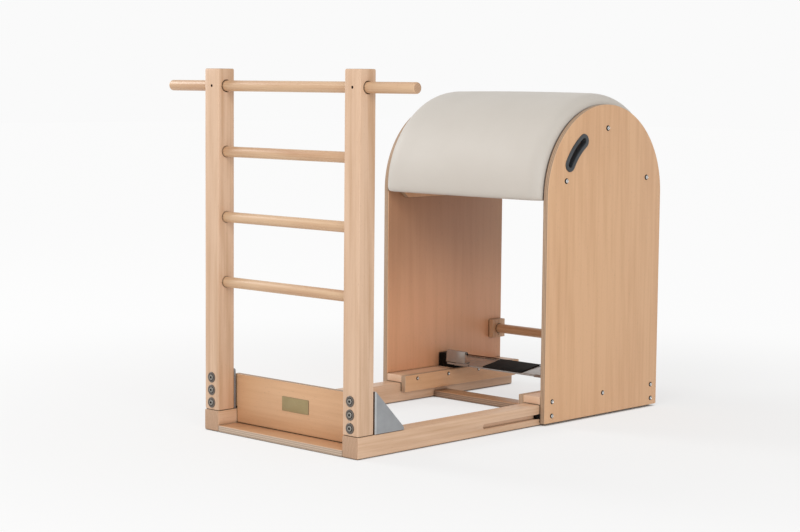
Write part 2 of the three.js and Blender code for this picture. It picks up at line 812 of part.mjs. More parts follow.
function makeRearDowel() {
  const rear = panelRear - dowelSocketInset;
  const front = rear - dowelSocketSize;
  const low = dowelCentreHeight - dowelSocketSize / 2;
  const inner = panelInner - dowelSocketThickness;
  const dowelY = (front + rear) / 2;
  const radius = dowelDiameter / 2;
  const block = cutFrom(
    timberX(inner, panelInner, front, rear, low, low + dowelSocketSize, socketEdge),
    pinX(inner - cutOver, panelInner + cutOver, dowelY, dowelCentreHeight, radius + dowelSocketGap));
  for (const [side, sign] of sides) addPiece(`dowel_socket_${side}`, forSide(block, sign), beech);
  const end = panelInner - dowelEndGap;
  addPiece('rear_dowel', pinX(-end, end, dowelY, dowelCentreHeight, radius), beech);
}

// Pedal, pivot, springs and brakes

// Places of the brake arm and its shoe behind the pivot block, on the right side, and how far
// the shoe's foot swings back: the arm's upstand stops at the block when the pedal is down
function brakePlaces() {
  const press = THREE.MathUtils.degToRad(pedalPress);
  const armBottom = runnerTop + armRise;
  const upstand = armBottom + armFlangeHeight - pivotZ;
  const stopped = pivotBlockRear + armStopGap - pivotY;
  const armFront = pivotY + (stopped + upstand * Math.sin(press)) / Math.cos(press);
  const armRear = armFront + armDepth;
  const shoeX0 = (railInner + railOuter) / 2 - shoeWidth / 2;
  const shoeY1 = armRear - armThickness;
  return {
    armBottom,
    armFront,
    armRear,
    shoeX0,
    shoeX1: shoeX0 + shoeWidth,
    shoeY0: shoeY1 - shoeLength,
    shoeY1,
    shoeSwing: (pivotZ - railHeight) * Math.sin(press),
  };
}

// An outline in (Y, Z) that turns with the pedal, tilted about the pivot as the pedal rests
function tilted(geometry) {
  return geometry.rotateX(THREE.MathUtils.degToRad(pedalTilt)).translate(0, pivotY, pivotZ);
}

// The folded foot plate with a lip in front, a heel behind and a hem along the heel
function footPlate() {
  const under = pedalTopRise - pedalSheet;
  const outline = outlineOf([
    [-pedalReach, pedalTopRise - pedalLipDepth], [-pedalReach + pedalSheet, pedalTopRise - pedalLipDepth],
    [-pedalReach + pedalSheet, under], [pedalHeel - pedalSheet, under],
    [pedalHeel - pedalSheet, pedalTopRise - pedalHeelDepth], [pedalHeel, pedalTopRise - pedalHeelDepth],
    [pedalHeel, pedalTopRise + pedalHem], [pedalHeel - pedalSheet / 2, pedalTopRise + pedalHem],
    [pedalHeel - pedalSheet / 2, pedalTopRise], [-pedalReach + pedalSheet / 2, pedalTopRise],
    [-pedalReach, pedalTopRise - pedalSheet / 2],
  ]);
  return tilted(prismX(outline, -pedalHalfLength, pedalHalfLength));
}

// An end cheek of the pedal, from the foot plate down round the shaft and back to the brake arm,
// with a hole for the end of the spring
function cheekGeometry() {
  const { armBottom, armFront, armRear } = brakePlaces();
  const x0 = pedalHalfLength - pedalSheet;
  const sink = pedalSheet / 2;
  const under = pedalTopRise - sink;
  const ear = outlineOf([
    [pedalHeel - sink, under], [-pedalReach + sink, under],
    [-pedalReach + sink, pedalTopRise - pedalLipDepth + sink],
    ...arcOf(0, 0, earRadius, -Math.PI * 3 / 4, -Math.PI / 6, 3 * cornerSteps),
    [pedalHeel - sink, 0],
  ]);
  const upper = tilted(prismX(ear, x0, pedalHalfLength));
  const lever = outlineOf([
    [pivotY - earRadius / 2, pivotZ - earRadius / 2], [pivotY, pivotZ - earRadius],
    [armFront, armBottom], [armRear, armBottom], [armRear, armBottom + armThickness],
    [armFront + armThickness, armBottom + armFlangeHeight / 2], [pivotY + earRadius, pivotZ + earRadius / 2],
  ]);
  return [upper, prismX(lever, x0, pedalHalfLength)];
}

// The angle that carries the brake shoe, stiffened by its upstand
function brakeArm() {
  const { armBottom, armFront, armRear } = brakePlaces();
  const outline = outlineOf([
    [armFront, armBottom], [armRear, armBottom], [armRear, armBottom + armThickness],
    [armFront + armThickness, armBottom + armThickness], [armFront + armThickness, armBottom + armFlangeHeight],
    [armFront, armBottom + armFlangeHeight],
  ]);
  return prismX(outline, pedalHalfLength - pedalSheet, panelInner - armSideGap);
}

function pedalGeometry() {
  const rightPieces = [...cheekGeometry(), brakeArm()];
  const bothSides = rightPieces.flatMap((piece) => [piece, forSide(piece, -1)]);
  const bore = shaftDiameter / 2 + shaftBoreGap;
  const shaftWay = pinX(-panelInner, panelInner, pivotY, pivotZ, bore);
  const { hookY, hookZ } = springPlaces();
  const hookBore = springWire / 2 + springSeatGap;
  const hookWay = pinX(-panelInner, panelInner, pivotY + hookY, pivotZ + hookZ, hookBore);
  return cutFrom(joined(footPlate(), ...bothSides), shaftWay, hookWay);
}

// The folded guard at each end of the foot plate, its top edge rolled back
function guardGeometry() {
  const x1 = pedalHalfLength + guardOverhang;
  const x0 = x1 - guardLength;
  const foot = pedalTopRise + guardGap;
  const front = -pedalReach + pedalSheet;
  const sheet = guardSheet;
  const top = foot + guardHeight;
  const rollY = front + guardLean + guardRoll;
  const rollEnd = -THREE.MathUtils.degToRad(guardRollEnd);
  const outline = outlineOf([
    [front, foot], [front + guardFootDepth, foot], [front + guardFootDepth, foot + sheet],
    [front + sheet, foot + sheet],
    ...arcOf(rollY, top, guardRoll - sheet, 2 * quarter, rollEnd, slotSteps),
    ...arcOf(rollY, top, guardRoll, rollEnd, 2 * quarter, slotSteps),
  ]);
  const lipEnd = x0 - guardLipShift;
  const lip = outlineOf([
    [front, foot], [front + sheet, foot], [front + sheet, foot + sheet], [front, foot + sheet],
    [front - guardLipReach, foot - guardLipDrop + sheet], [front - guardLipReach, foot - guardLipDrop],
    [front - sheet - guardGap, foot],
  ]);
  return tilted(joined(prismX(outline, x0, x1), prismX(lip, lipEnd, lipEnd + guardLipLength)));
}

function gripGeometry() {
  const low = pedalTopRise + gripGap;
  const outline = roundedRectangle(
    -gripHalfLength, gripHalfLength, -pedalReach + gripInset, pedalHeel - pedalSheet / 2 - gripInset, boardEdge);
  return tilted(prismZ(outline, low, low + gripThickness, gripThickness / 4));
}

// Where a torsion spring's legs meet its coil and end, measured from the pivot: the fixed leg
// rises from the plank to the back of the coil, and the moving leg runs forward off its top
function springPlaces() {
  const radius = (shaftDiameter + springWire + 2 * springShaftGap) / 2 / Math.cos(Math.PI / coilSteps);
  const drop = pivotZ - runnerTop - springWire / 2 - springSeatGap;
  const reach = Math.hypot(springLeg, radius);
  const fixedAngle = Math.acos(drop / reach) - Math.atan(radius / springLeg);
  const movingAngle = quarter + THREE.MathUtils.degToRad(springDip + pedalTilt);
  return {
    radius,
    drop,
    fixedAngle,
    movingAngle,
    footY: radius * Math.cos(fixedAngle) + springLeg * Math.sin(fixedAngle),
    hookY: radius * Math.cos(movingAngle) - springLeg * Math.sin(movingAngle),
    hookZ: radius * Math.sin(movingAngle) + springLeg * Math.cos(movingAngle),
  };
}

// A wire's path through given points, with a section at each of them
class WirePath extends THREE.Curve {
  constructor(points) {
    super();
    this.points = points;
  }

  getPoint(share, target = new THREE.Vector3()) {
    const along = share * (this.points.length - 1);
    const index = Math.max(0, Math.min(Math.floor(along), this.points.length - 2));
    return target.lerpVectors(this.points[index], this.points[index + 1], along - index);
  }

  getPointAt(share, target) {
    return this.getPoint(share, target);
  }

  getTangentAt(share, target) {
    return this.getTangent(share, target);
  }
}

// The points of a bend in the wire, of about the given radius, between two straight legs
function bendPoints(from, corner, to) {
  const start = corner.clone().add(from.clone().sub(corner).setLength(springBend));
  const end = corner.clone().add(to.clone().sub(corner).setLength(springBend));
  return new THREE.QuadraticBezierCurve3(start, corner, end).getPoints(cornerSteps);
}

// The whole wire: foot on the plank, fixed leg, coil round the shaft, moving leg and hook
function springPath() {
  const { radius, drop, fixedAngle, movingAngle, footY, hookY, hookZ } = springPlaces();
  const x0 = pivotBlockInner - springWire / 2 - springSideGap;
  const swept = movingAngle - fixedAngle + 2 * Math.PI * springTurns;
  const x1 = x0 - swept / (2 * Math.PI) * (springWire + springCoilGap);
  const steps = Math.ceil(swept / (2 * Math.PI) * coilSteps);
  const coil = Array.from({ length: steps + 1 }, (_, step) => {
    const angle = fixedAngle + swept * step / steps;
    return new THREE.Vector3(x0 + (x1 - x0) * step / steps, radius * Math.cos(angle), radius * Math.sin(angle));
  });
  const footEnd = new THREE.Vector3(x0, footY + springFoot, -drop);
  const footCorner = new THREE.Vector3(x0, footY, -drop);
  const hookCorner = new THREE.Vector3(x1, hookY, hookZ);
  const hookEnd = new THREE.Vector3(x1 - springHook, hookY, hookZ);
  return new WirePath([
    footEnd, ...bendPoints(footEnd, footCorner, coil[0]), ...coil,
    ...bendPoints(coil[steps], hookCorner, hookEnd), hookEnd,
  ]);
}

// The least gap between two stretches of a wire that lie half a turn or more apart along it
function leastGap(path) {
  const perStep = 6;
  const samples = path.getPoints((path.points.length - 1) * perStep);
  let least = Infinity;
  samples.forEach((sample, index) => {
    const others = samples.slice(index + perStep * coilSteps / 2);
    for (const other of others) least = Math.min(least, sample.distanceTo(other));
  });
  return least - springWire;
}

function springGeometry() {
  const path = springPath();
  console.log(`least gap of a pedal spring to itself: ${leastGap(path).toFixed(2)} mm`);
  const section = outlineOf(arcOf(0, 0, springWire / 2, 0, 2 * Math.PI, wireSides).slice(0, -1));
  const steps = path.points.length - 1;
  const spring = new THREE.ExtrudeGeometry(section, { steps, bevelEnabled: false, extrudePath: path });
  return spring.translate(0, pivotY, pivotZ);
}

function makePedal() {
  const blockLeft = pivotBlockInner;
  const bore = shaftDiameter / 2 + shaftBoreGap;
  const block = cutFrom(
    timberX(blockLeft, panelInner, pivotBlockFront, pivotBlockRear, runnerTop, runnerTop + pivotBlockHeight,
      pivotBlockEdge),
    pinX(blockLeft - cutOver, panelInner + cutOver, pivotY, pivotZ, bore));
  const { armBottom, shoeX0, shoeX1, shoeY0, shoeY1 } = brakePlaces();
  const rubberTop = railHeight + shoeGap + shoeRubber;
  const rubber = timberZ(shoeX0, shoeX1, shoeY0, shoeY1, railHeight + shoeGap, rubberTop, boardEdge);
  const stem = timberZ(shoeX0, shoeX1, shoeY0, shoeY1, rubberTop, armBottom, boardEdge / 2);
  const spring = springGeometry();
  const guard = guardGeometry();
  for (const [side, sign] of sides) {
    addPiece(`pivot_block_${side}`, forSide(block, sign), blackNylon);
    addPiece(`pedal_end_guard_${side}`, forSide(guard, sign), bareSteel);
    addPiece(`brake_shoe_holder_${side}`, forSide(stem, sign), blackNylon);
    addPiece(`brake_shoe_rubber_${side}`, forSide(rubber, sign), blackRubber);
    addPiece(`pedal_spring_${side}`, forSide(spring, sign), zincSteel);
  }
  const shaftEnd = panelInner - shaftEndGap;
  addPiece('pivot_shaft', pinX(-shaftEnd, shaftEnd, pivotY, pivotZ, shaftDiameter / 2), zincSteel);
  addPiece('foot_pedal', pedalGeometry(), bareSteel);
  addPiece('pedal_grip', gripGeometry(), blackRubber);
}

function makeBarrel() {
  const panel = panelGeometry();
  const grommet = grommetGeometry();
  const former = formerGeometry();
  for (const [side, sign] of sides) {
    addPiece(`side_panel_${side}`, forSide(panel, sign), plywood);
    addPiece(`hand_slot_grommet_${side}`, forSide(grommet, sign), darkPlastic);
    addPiece(`arch_former_${side}`, forSide(former, sign), plywood);
  }
  const shellHalf = panelInner - padGap;
  const ring = archRing(shellRadius, shellOuter, shellFoot);
  addPiece('barrel_shell', prismX(ring, -shellHalf, shellHalf), plywood);
  makeBattens();
  addPiece('barrel_pad', padGeometry(), vinyl);
}

makeBase();
makeLadder();
const bracket = bracketGeometry();
for (const [side, sign] of sides) addPiece(`corner_bracket_${side}`, forSide(bracket, sign), greyPowder);
makeBarrel();
makeRunners();
makeRearDowel();
makePedal();

// The overall box is centred on the origin in Y
const overallBox = new THREE.Box3().setFromObject(ladderBarrel);
ladderBarrel.position.y = -(overallBox.min.y + overallBox.max.y) / 2;

export default ladderBarrel;
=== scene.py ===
"""Dresses the packed model of a pilates ladder barrel with timber, plywood, steel and a soft pad."""

import json
import math

import bmesh
import bpy
from mathutils import Matrix, Vector


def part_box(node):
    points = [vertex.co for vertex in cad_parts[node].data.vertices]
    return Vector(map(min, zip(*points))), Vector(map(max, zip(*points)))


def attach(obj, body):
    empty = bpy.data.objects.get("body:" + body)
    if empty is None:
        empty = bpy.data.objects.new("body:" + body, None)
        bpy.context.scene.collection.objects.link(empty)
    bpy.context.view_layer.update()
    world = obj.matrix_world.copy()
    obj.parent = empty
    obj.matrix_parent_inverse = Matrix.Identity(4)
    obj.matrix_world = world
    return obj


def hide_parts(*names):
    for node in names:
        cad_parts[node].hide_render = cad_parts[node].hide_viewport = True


bl_info = {
    "name": "Ladder barrel dresser",
    "version": (1, 0, 0),
    "blender": (4, 5, 0),
    "location": "3D View > Sidebar > Ladder Barrel",
    "description": "Shapes and finishes the pieces of a pilates ladder barrel on its packed model",
    "category": "Object",
}

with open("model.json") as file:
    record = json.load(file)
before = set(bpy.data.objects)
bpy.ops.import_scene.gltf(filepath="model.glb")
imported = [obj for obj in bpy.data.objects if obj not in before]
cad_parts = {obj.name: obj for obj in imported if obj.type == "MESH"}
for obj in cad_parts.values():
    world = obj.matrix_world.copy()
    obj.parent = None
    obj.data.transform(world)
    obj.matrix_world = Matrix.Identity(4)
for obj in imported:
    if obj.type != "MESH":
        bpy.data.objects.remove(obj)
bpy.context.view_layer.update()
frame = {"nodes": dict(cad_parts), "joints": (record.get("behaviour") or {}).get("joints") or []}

AXES = {"X": Vector((1, 0, 0)), "Y": Vector((0, 1, 0)), "Z": Vector((0, 0, 1))}
SIDES = (("left", -1), ("right", 1))
NUMBERS = (1, 2, 3)
QUARTER = math.pi / 2
OVER = 0.004  # how far a cutter stands past the face that it enters
BOLT_HOLE = 0.0044  # radius of the holes for the bolts
SHELL = 0.008  # thickness of the bent shell
PEDAL_LEAN = math.radians(9)
PAINTED_SHADE = (0.06, 0.03, 0.013)  # dark brown of the painted shade where two pieces meet


# Places read from the packed model


def box_of(node):
    low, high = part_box(node)
    return Vector(low), Vector(high)


def middle_of(node):
    low, high = box_of(node)
    return (low + high) / 2


panel_low, panel_high = box_of("side_panel_right")
arch_radius = (panel_high.y - panel_low.y) / 2
arch_y = (panel_high.y + panel_low.y) / 2
arch_z = panel_high.z - arch_radius
panel_inner, panel_outer = panel_low.x, panel_high.x
shaft = middle_of("pivot_shaft")
bar = middle_of("top_bar")
post_x = middle_of("upright_right").x


# Modelling as by hand: primitives, edit mode operators and applied modifiers


def deselect_everything():
    if bpy.context.object and bpy.context.object.mode != "OBJECT":
        bpy.ops.object.mode_set(mode="OBJECT")
    bpy.ops.object.select_all(action="DESELECT")


def make_active(piece):
    deselect_everything()
    piece.select_set(True)
    bpy.context.view_layer.objects.active = piece


def settle(piece):
    """Moves the piece's place, turn and scale into its mesh."""
    make_active(piece)
    bpy.ops.object.transform_apply(location=True, rotation=True, scale=True)


class shaping:
    """Edit mode on one piece, with nothing selected on the way in and out."""

    def __init__(self, piece):
        self.piece = piece

    def __enter__(self):
        make_active(self.piece)
        bpy.ops.object.mode_set(mode="EDIT")
        bpy.ops.mesh.select_all(action="DESELECT")

    def __exit__(self, *problem):
        bpy.ops.mesh.select_all(action="DESELECT")
        bpy.ops.object.mode_set(mode="OBJECT")


def choose(piece, kind, test):
    """Selects the corners, edges or faces (VERT, EDGE, FACE) whose place or normal passes the test."""
    bpy.ops.mesh.select_mode(type=kind)
    bpy.ops.mesh.select_all(action="DESELECT")
    mesh = bmesh.from_edit_mesh(piece.data)
    mesh.normal_update()
    parts = {"VERT": mesh.verts, "EDGE": mesh.edges, "FACE": mesh.faces}[kind]
    for part in parts:
        if test(part):
            part.select_set(True)
    bmesh.update_edit_mesh(piece.data)


def halfway(edge):
    return (edge.verts[0].co + edge.verts[1].co) / 2


def anything(part):
    return True


def along(axis):
    """A test for the edges that run along an axis."""
    def test(edge):
        way = edge.verts[1].co - edge.verts[0].co
        return way.length > 1e-7 and abs(way.normalized().dot(AXES[axis])) > 0.999
    return test


def at(axis, *places):
    """A test for the edges or faces that lie at one of these places on an axis."""
    index = "XYZ".index(axis)
    return lambda part: any(
        all(abs(corner.co[index] - place) < 1e-5 for corner in part.verts) for place in places)


def sharp(angle):
    """A test for the edges that bend by more than an angle in degrees."""
    limit = math.radians(angle)
    return lambda edge: len(edge.link_faces) == 2 and edge.calc_face_angle(0) > limit


def both(*tests):
    return lambda part: all(test(part) for test in tests)


def extrude(way):
    bpy.ops.mesh.extrude_region_move(TRANSFORM_OT_translate={"value": way})


def bevel(radius, segments):
    bpy.ops.mesh.bevel(
        offset=radius, segments=segments, profile=0.5, affect="EDGES", clamp_overlap=True)


def face_outwards():
    bpy.ops.mesh.select_all(action="SELECT")
    bpy.ops.mesh.normals_make_consistent(inside=False)


def round_edges(piece, test, radius, segments=3):
    with shaping(piece):
        choose(piece, "EDGE", test)
        bevel(radius, segments)


def block(name, low, high):
    """A box between two corners, the start of a board or post."""
    deselect_everything()
    low, high = Vector(low), Vector(high)
    bpy.ops.mesh.primitive_cube_add(size=1, location=(low + high) / 2, scale=high - low)
    piece = bpy.context.object
    piece.name = name
    settle(piece)
    return piece


def board(name, low, high, edge, segments=3):
    """A board with all its edges rounded."""
    piece = block(name, low, high)
    round_edges(piece, anything, edge, segments)
    return piece


def timber(name, low, high, axis, edge, end_edge, segments=4):
    """A timber whose long edges are rounded more than the edges of its ends."""
    piece = block(name, low, high)
    round_edges(piece, along(axis), edge, segments)
    index = "XYZ".index(axis)
    round_edges(piece, at(axis, low[index], high[index]), end_edge, 2)
    return piece


def turned(name, profile, start, axis, sides=48):
    """A round piece: a disc extruded and resized along its axis, one step for each (radius, distance)."""
    deselect_everything()
    turn = {"X": (0, QUARTER, 0), "Y": (-QUARTER, 0, 0), "Z": (0, 0, 0)}[axis]
    way, start = AXES[axis], Vector(start)
    radius, reached = profile[0]
    bpy.ops.mesh.primitive_circle_add(
        vertices=sides, radius=radius, fill_type="NGON", location=start + way * reached, rotation=turn)
    piece = bpy.context.object
    piece.name = name
    settle(piece)
    with shaping(piece):
        choose(piece, "FACE", anything)
        for next_radius, next_reached in profile[1:]:
            extrude(way * (next_reached - reached))
            ratio = next_radius / radius
            bpy.ops.transform.resize(value=(ratio,) * 3, center_override=start + way * next_reached)
            radius, reached = next_radius, next_reached
        face_outwards()
    return piece


def bore(radius, depth, place, axis, sides=24, lip=0.0, ease=0.0):
    """A cutter for a round hole whose mouth may be wider by a lip, eased over a small depth."""
    mouth = [(radius + lip, -OVER), (radius + lip, 0), (radius, ease)] if lip else [(radius, -OVER)]
    return turned("cutter", [*mouth, (radius, depth)], place, axis, sides)


def round_bar(name, node, rim, steps, sides=64):
    """A round bar in the place of a node, with the rims of its two ends rounded."""
    low, high = box_of(node)
    centre, radius, whole = middle_of(node), (high.z - low.z) / 2, high.x - low.x
    turns = [QUARTER * step / steps for step in range(steps + 1)]
    near = [(radius - rim + rim * math.sin(turn), rim - rim * math.cos(turn)) for turn in turns]
    far = [(narrow, whole - out) for narrow, out in reversed(near)]
    return turned(name, near + far, (low.x, centre.y, centre.z), "X", sides)


def arc(a, b, radius, start, end, steps):
    """Points of an arc, both its ends among them, in degrees."""
    turns = [math.radians(start + (end - start) * step / steps) for step in range(steps + 1)]
    return [(a + radius * math.cos(turn), b + radius * math.sin(turn)) for turn in turns]


def placed(corner, axis, depth):
    a, b = corner
    return {"X": Vector((depth, a, b)), "Y": Vector((a, depth, b)), "Z": Vector((a, b, depth))}[axis]


def plate(name, corners, axis, start, end):
    """A flat plate: a disc whose rim is moved to the outline's corners and extruded to its thickness."""
    deselect_everything()
    bpy.ops.mesh.primitive_circle_add(
        vertices=len(corners), radius=1, fill_type="NGON", location=(0, 0, 0))
    piece = bpy.context.object
    piece.name = name
    with shaping(piece):
        mesh = bmesh.from_edit_mesh(piece.data)
        for point, corner in zip(mesh.verts, corners):
            point.co = placed(corner, axis, start)
        bmesh.update_edit_mesh(piece.data)
        choose(piece, "FACE", anything)
        extrude(AXES[axis] * (end - start))
        face_outwards()
    return piece


def folded(name, corners, x0, x1, thickness, bend, segments=4):
    """Sheet metal: a strip extruded from fold to fold, its folds rounded and its wall given by Solidify."""
    deselect_everything()
    bpy.ops.mesh.primitive_plane_add(size=1, location=(0, 0, 0))
    piece = bpy.context.object
    piece.name = name
    with shaping(piece):
        mesh = bmesh.from_edit_mesh(piece.data)
        for point in mesh.verts:
            y, z = corners[0] if point.co.y < 0 else corners[1]
            point.co = Vector((x0 if point.co.x < 0 else x1, y, z))
        bmesh.update_edit_mesh(piece.data)
        for (y0, z0), (y1, z1) in zip(corners[1:], corners[2:]):
            choose(piece, "EDGE", both(along("X"), at("Y", y0), at("Z", z0)))
            extrude((0, y1 - y0, z1 - z0))
        choose(piece, "EDGE", sharp(5.7))
        bevel(bend, segments)
        face_outwards()
    modify(piece, "SOLIDIFY", thickness=thickness, offset=0, use_even_offset=True)
    return piece


def apply_modifiers(piece):
    make_active(piece)
    for name in [modifier.name for modifier in piece.modifiers]:
        bpy.ops.object.modifier_apply(modifier=name)


def modify(piece, kind, **settings):
    """Adds a modifier with its settings and applies it."""
    step = piece.modifiers.new(kind.lower(), kind)
    for key, value in settings.items():
        setattr(step, key, value)
    apply_modifiers(piece)


def combine(piece, others, operation):
    """Cuts the others from the piece, or joins them to it, and removes them."""
    for other in others:
        modify(piece, "BOOLEAN", operation=operation, solver="EXACT", object=other)
        bpy.data.objects.remove(other)
    return piece


def cut(piece, *others):
    return combine(piece, others, "DIFFERENCE")


def welded(piece, *others):
    return combine(piece, others, "UNION")


def gathered(name, pieces):
    """Several separate bodies as one piece, such as a row of screws."""
    make_active(pieces[0])
    for piece in pieces:
        piece.select_set(True)
    bpy.ops.object.join()
    pieces[0].name = name
    return pieces[0]


def in_scene(name, data):
    """A new object that holds the data, linked to the scene."""
    made = bpy.data.objects.new(name, data)
    bpy.context.scene.collection.objects.link(made)
    return made


def mirrored(piece, name):
    """The piece's mirror image across X, with its faces turned back."""
    twin = in_scene(name, piece.data.copy())
    twin.scale.x = -1
    settle(twin)
    with shaping(twin):
        face_outwards()
    return twin


def lean(piece):
    """Leans a part of the pedal about the shaft; without a window the operator turns backwards."""
    with shaping(piece):
        bpy.ops.mesh.select_all(action="SELECT")
        bpy.ops.transform.rotate(
            value=-PEDAL_LEAN, orient_axis="X", center_override=(0, shaft.y, shaft.z))


def seat(piece, paint, body, slot, *nodes, smooth=35):
    """Shades and paints a piece, sets it on its body and hides the nodes that it stands for."""
    make_active(piece)
    bpy.ops.object.shade_smooth_by_angle(angle=math.radians(smooth))
    piece.data.name = piece.name
    piece.data.materials.clear()
    piece.data.materials.append(paint)
    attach(piece, body)
    if nodes:
        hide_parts(*nodes)


def both_sides(piece, paint, body, slot, *nodes, smooth=35):
    """Seats a piece drawn for the right side and its mirror image for the left."""
    base = piece.name
    piece.name = f"right_{base}"
    twin = mirrored(piece, f"left_{base}")
    for side, made in (("right", piece), ("left", twin)):
        seat(made, paint, body, slot, *(f"{node}_{side}" for node in nodes), smooth=smooth)


def touch_up(name, paints, choice):
    """Gives a seated piece more paints; the choice says which a face takes, with 0 for its own."""
    mesh = bpy.data.objects[name].data
    for paint in paints:
        mesh.materials.append(paint)
    for face in mesh.polygons:
        face.material_index = int(choice(face))


def repaint(node, paint):
    """Gives its finish to a node that stays."""
    materials = frame["nodes"][node].data.materials
    materials.clear()
    materials.append(paint)


# Sizes, colours and studio settings that a user would change


def tint(code):
    """A written colour such as d9b28e as the linear value that Blender keeps."""
    parts = [int(code[place:place + 2], 16) / 255 for place in (0, 2, 4)]
    return tuple(part / 12.92 if part <= 0.04045 else ((part + 0.055) / 1.055) ** 2.4
                 for part in parts)


def length(name, description, default, most=0.1):
    return bpy.props.FloatProperty(
        name=name, description=description, default=default, min=0.0, max=most, precision=5,
        subtype="DISTANCE", unit="LENGTH")


def colour(name, description, code):
    return bpy.props.FloatVectorProperty(
        name=name, description=description, default=tint(code), size=3, min=0.0, max=1.0,
        subtype="COLOR")


def amount(name, description, default, most, least=0.0):
    return bpy.props.FloatProperty(
        name=name, description=description, default=default, min=least, max=most)


class BarrelSizes(bpy.types.PropertyGroup):
    """Small sizes that only the dressed pieces have"""

    post_round: length("Post edge", "Radius of the long edges of posts and rails", 0.0042)
    panel_round: length("Panel edge", "Radius of the rounded rim of the side panels", 0.0025)
    board_round: length("Board edge", "Radius of the edges of boards", 0.0015)
    ply: length("Ply", "Thickness of one veneer of the plywood", 0.0025)
    cup_washer: length("Cup washer", "Diameter of the cup washers under the panel screws", 0.0155)
    cup_rise: length("Cup rise", "Height of the cup washers", 0.0022)
    fold_round: length("Fold", "Radius of the folds in sheet steel", 0.0028)
    pad_voxel: length("Pad mesh", "Size of the pad's remeshed faces", 0.006)
    pad_swell: length("Pad swell", "How far the pad's cover may swell", 0.0012)


class BarrelFinishes(bpy.types.PropertyGroup):
    """Colours of the finishes"""

    maple: colour("Maple", "Light of the posts and rails", "dcb99b")
    maple_dark: colour("Maple grain", "Dark grain of the posts and rails", "bd946f")
    maple_end: colour("Maple end", "End grain of the posts and rails", "b28f73")
    ply_face: colour("Plywood face", "Light of the plywood's face veneer", "ddb188")
    ply_dark: colour("Plywood grain", "Dark grain of the plywood's face veneer", "bd8a60")
    # The inner veneer is a redder copy of the face veneer, standing for painted shade and reddish bounced
    # light inside the barrel.
    ply_inner_shaded: colour("Inner veneer", "Light of the veneer on the panels' inner faces", "e3ad86")
    ply_inner_shaded_grain: colour("Inner veneer grain", "Dark grain of the veneer on the inner faces", "c0865f")
    ply_light: colour("Plywood layer", "Layers of the plywood that run along the edge", "c5a98c")
    ply_deep: colour("Plywood end layer", "Layers of the plywood cut across the grain", "9b7d66")
    beech: colour("Beech", "Light of the bars and rungs", "d6b38f")
    beech_dark: colour("Beech grain", "Dark grain of the bars and rungs", "b98a65")
    powder: colour("Powder coat", "Grey of the corner brackets", "999c9f")
    vinyl: colour("Vinyl", "Cover of the pad", "d0cac2")
    plastic: colour("Plastic", "Hand slot linings", "373c40")
    steel: colour("Steel", "Pedal and guards", "a9a19b")


class BarrelStudio(bpy.types.PropertyGroup):
    """Camera and light"""

    lens: amount("Lens", "Focal length in millimetres on a 36 mm sensor", 85.42, 300, 10)
    world: amount("World light", "Strength of the even light all round", 0.56, 5)
    key: amount("Key light", "Power of the large lamp", 52, 5000)
    fill: amount("Fill light", "Power of the side lamp", 132, 5000)
    left: amount("Left light", "Power of the high lamp on the left", 84, 5000)
    backdrop: colour("Backdrop", "Colour of the background that the camera sees", "fafafa")


def sizes():
    return bpy.context.scene.barrel_sizes


def tone(code):
    """A colour by its name among the finishes, or by its written code."""
    looks = bpy.context.scene.barrel_finishes
    return getattr(looks, code) if hasattr(looks, code) else tint(code)


# Nodes


def wire(tree, sockets, values):
    """Links each named socket to its value, or sets it where the value is a plain one."""
    for key, value in values.items():
        socket = sockets[key]
        if isinstance(value, bpy.types.NodeSocket):
            tree.links.new(value, socket)
        else:
            socket.default_value = (*value[:3], 1.0) if socket.type == "RGBA" else value


def add(tree, kind, values=None, **settings):
    made = tree.nodes.new(kind)
    for key, value in settings.items():
        setattr(made, key, value)
    wire(tree, made.inputs, values or {})
    return made


def calc(tree, operation, first, second=0.0, third=0.0, clamp=False):
    values = {0: first, 1: second, 2: third}
    return add(tree, "ShaderNodeMath", values, operation=operation, use_clamp=clamp).outputs[0]


def times(tree, first, second, clamp=False):
    return calc(tree, "MULTIPLY", first, second, clamp=clamp)


def less(tree, first, second):
    return calc(tree, "SUBTRACT", first, second)


def plus(tree, first, second):
    return calc(tree, "ADD", first, second)


def ranged(tree, value, low, high, to_low=0.0, to_high=1.0):
    return add(tree, "ShaderNodeMapRange", {
        "Value": value, "From Min": low, "From Max": high, "To Min": to_low, "To Max": to_high,
    }, interpolation_type="SMOOTHSTEP").outputs["Result"]


def mixed(tree, factor, first, second, blend="MIX"):
    values = {0: factor, 6: first, 7: second}
    return add(tree, "ShaderNodeMix", values, data_type="RGBA", blend_type=blend).outputs[2]


def noise(tree, vector, scale, detail=2.0, rough=0.5, distortion=0.0, output="Fac"):
    return add(tree, "ShaderNodeTexNoise", {
        "Vector": vector, "Scale": scale, "Detail": detail, "Roughness": rough,
        "Distortion": distortion}).outputs[output]


def waves(tree, vector, scale, distortion, detail_scale, **kind):
    return add(tree, "ShaderNodeTexWave", {
        "Vector": vector, "Scale": scale, "Distortion": distortion, "Detail": 2.0,
        "Detail Scale": detail_scale}, **kind).outputs["Fac"]


def stretched(tree, vector, scale):
    return add(tree, "ShaderNodeVectorMath", {0: vector, 1: scale}, operation="MULTIPLY").outputs[0]


def between(tree, share, first, second):
    """A value that runs from the first to the second as the share grows."""
    return calc(tree, "MULTIPLY_ADD", share, less(tree, second, first), first)


# Effects that more than one material uses

SOCKETS = {"Vector": "Vector", "Light": "Color", "Dark": "Color", "Cut": "Color", "Color": "Color"}


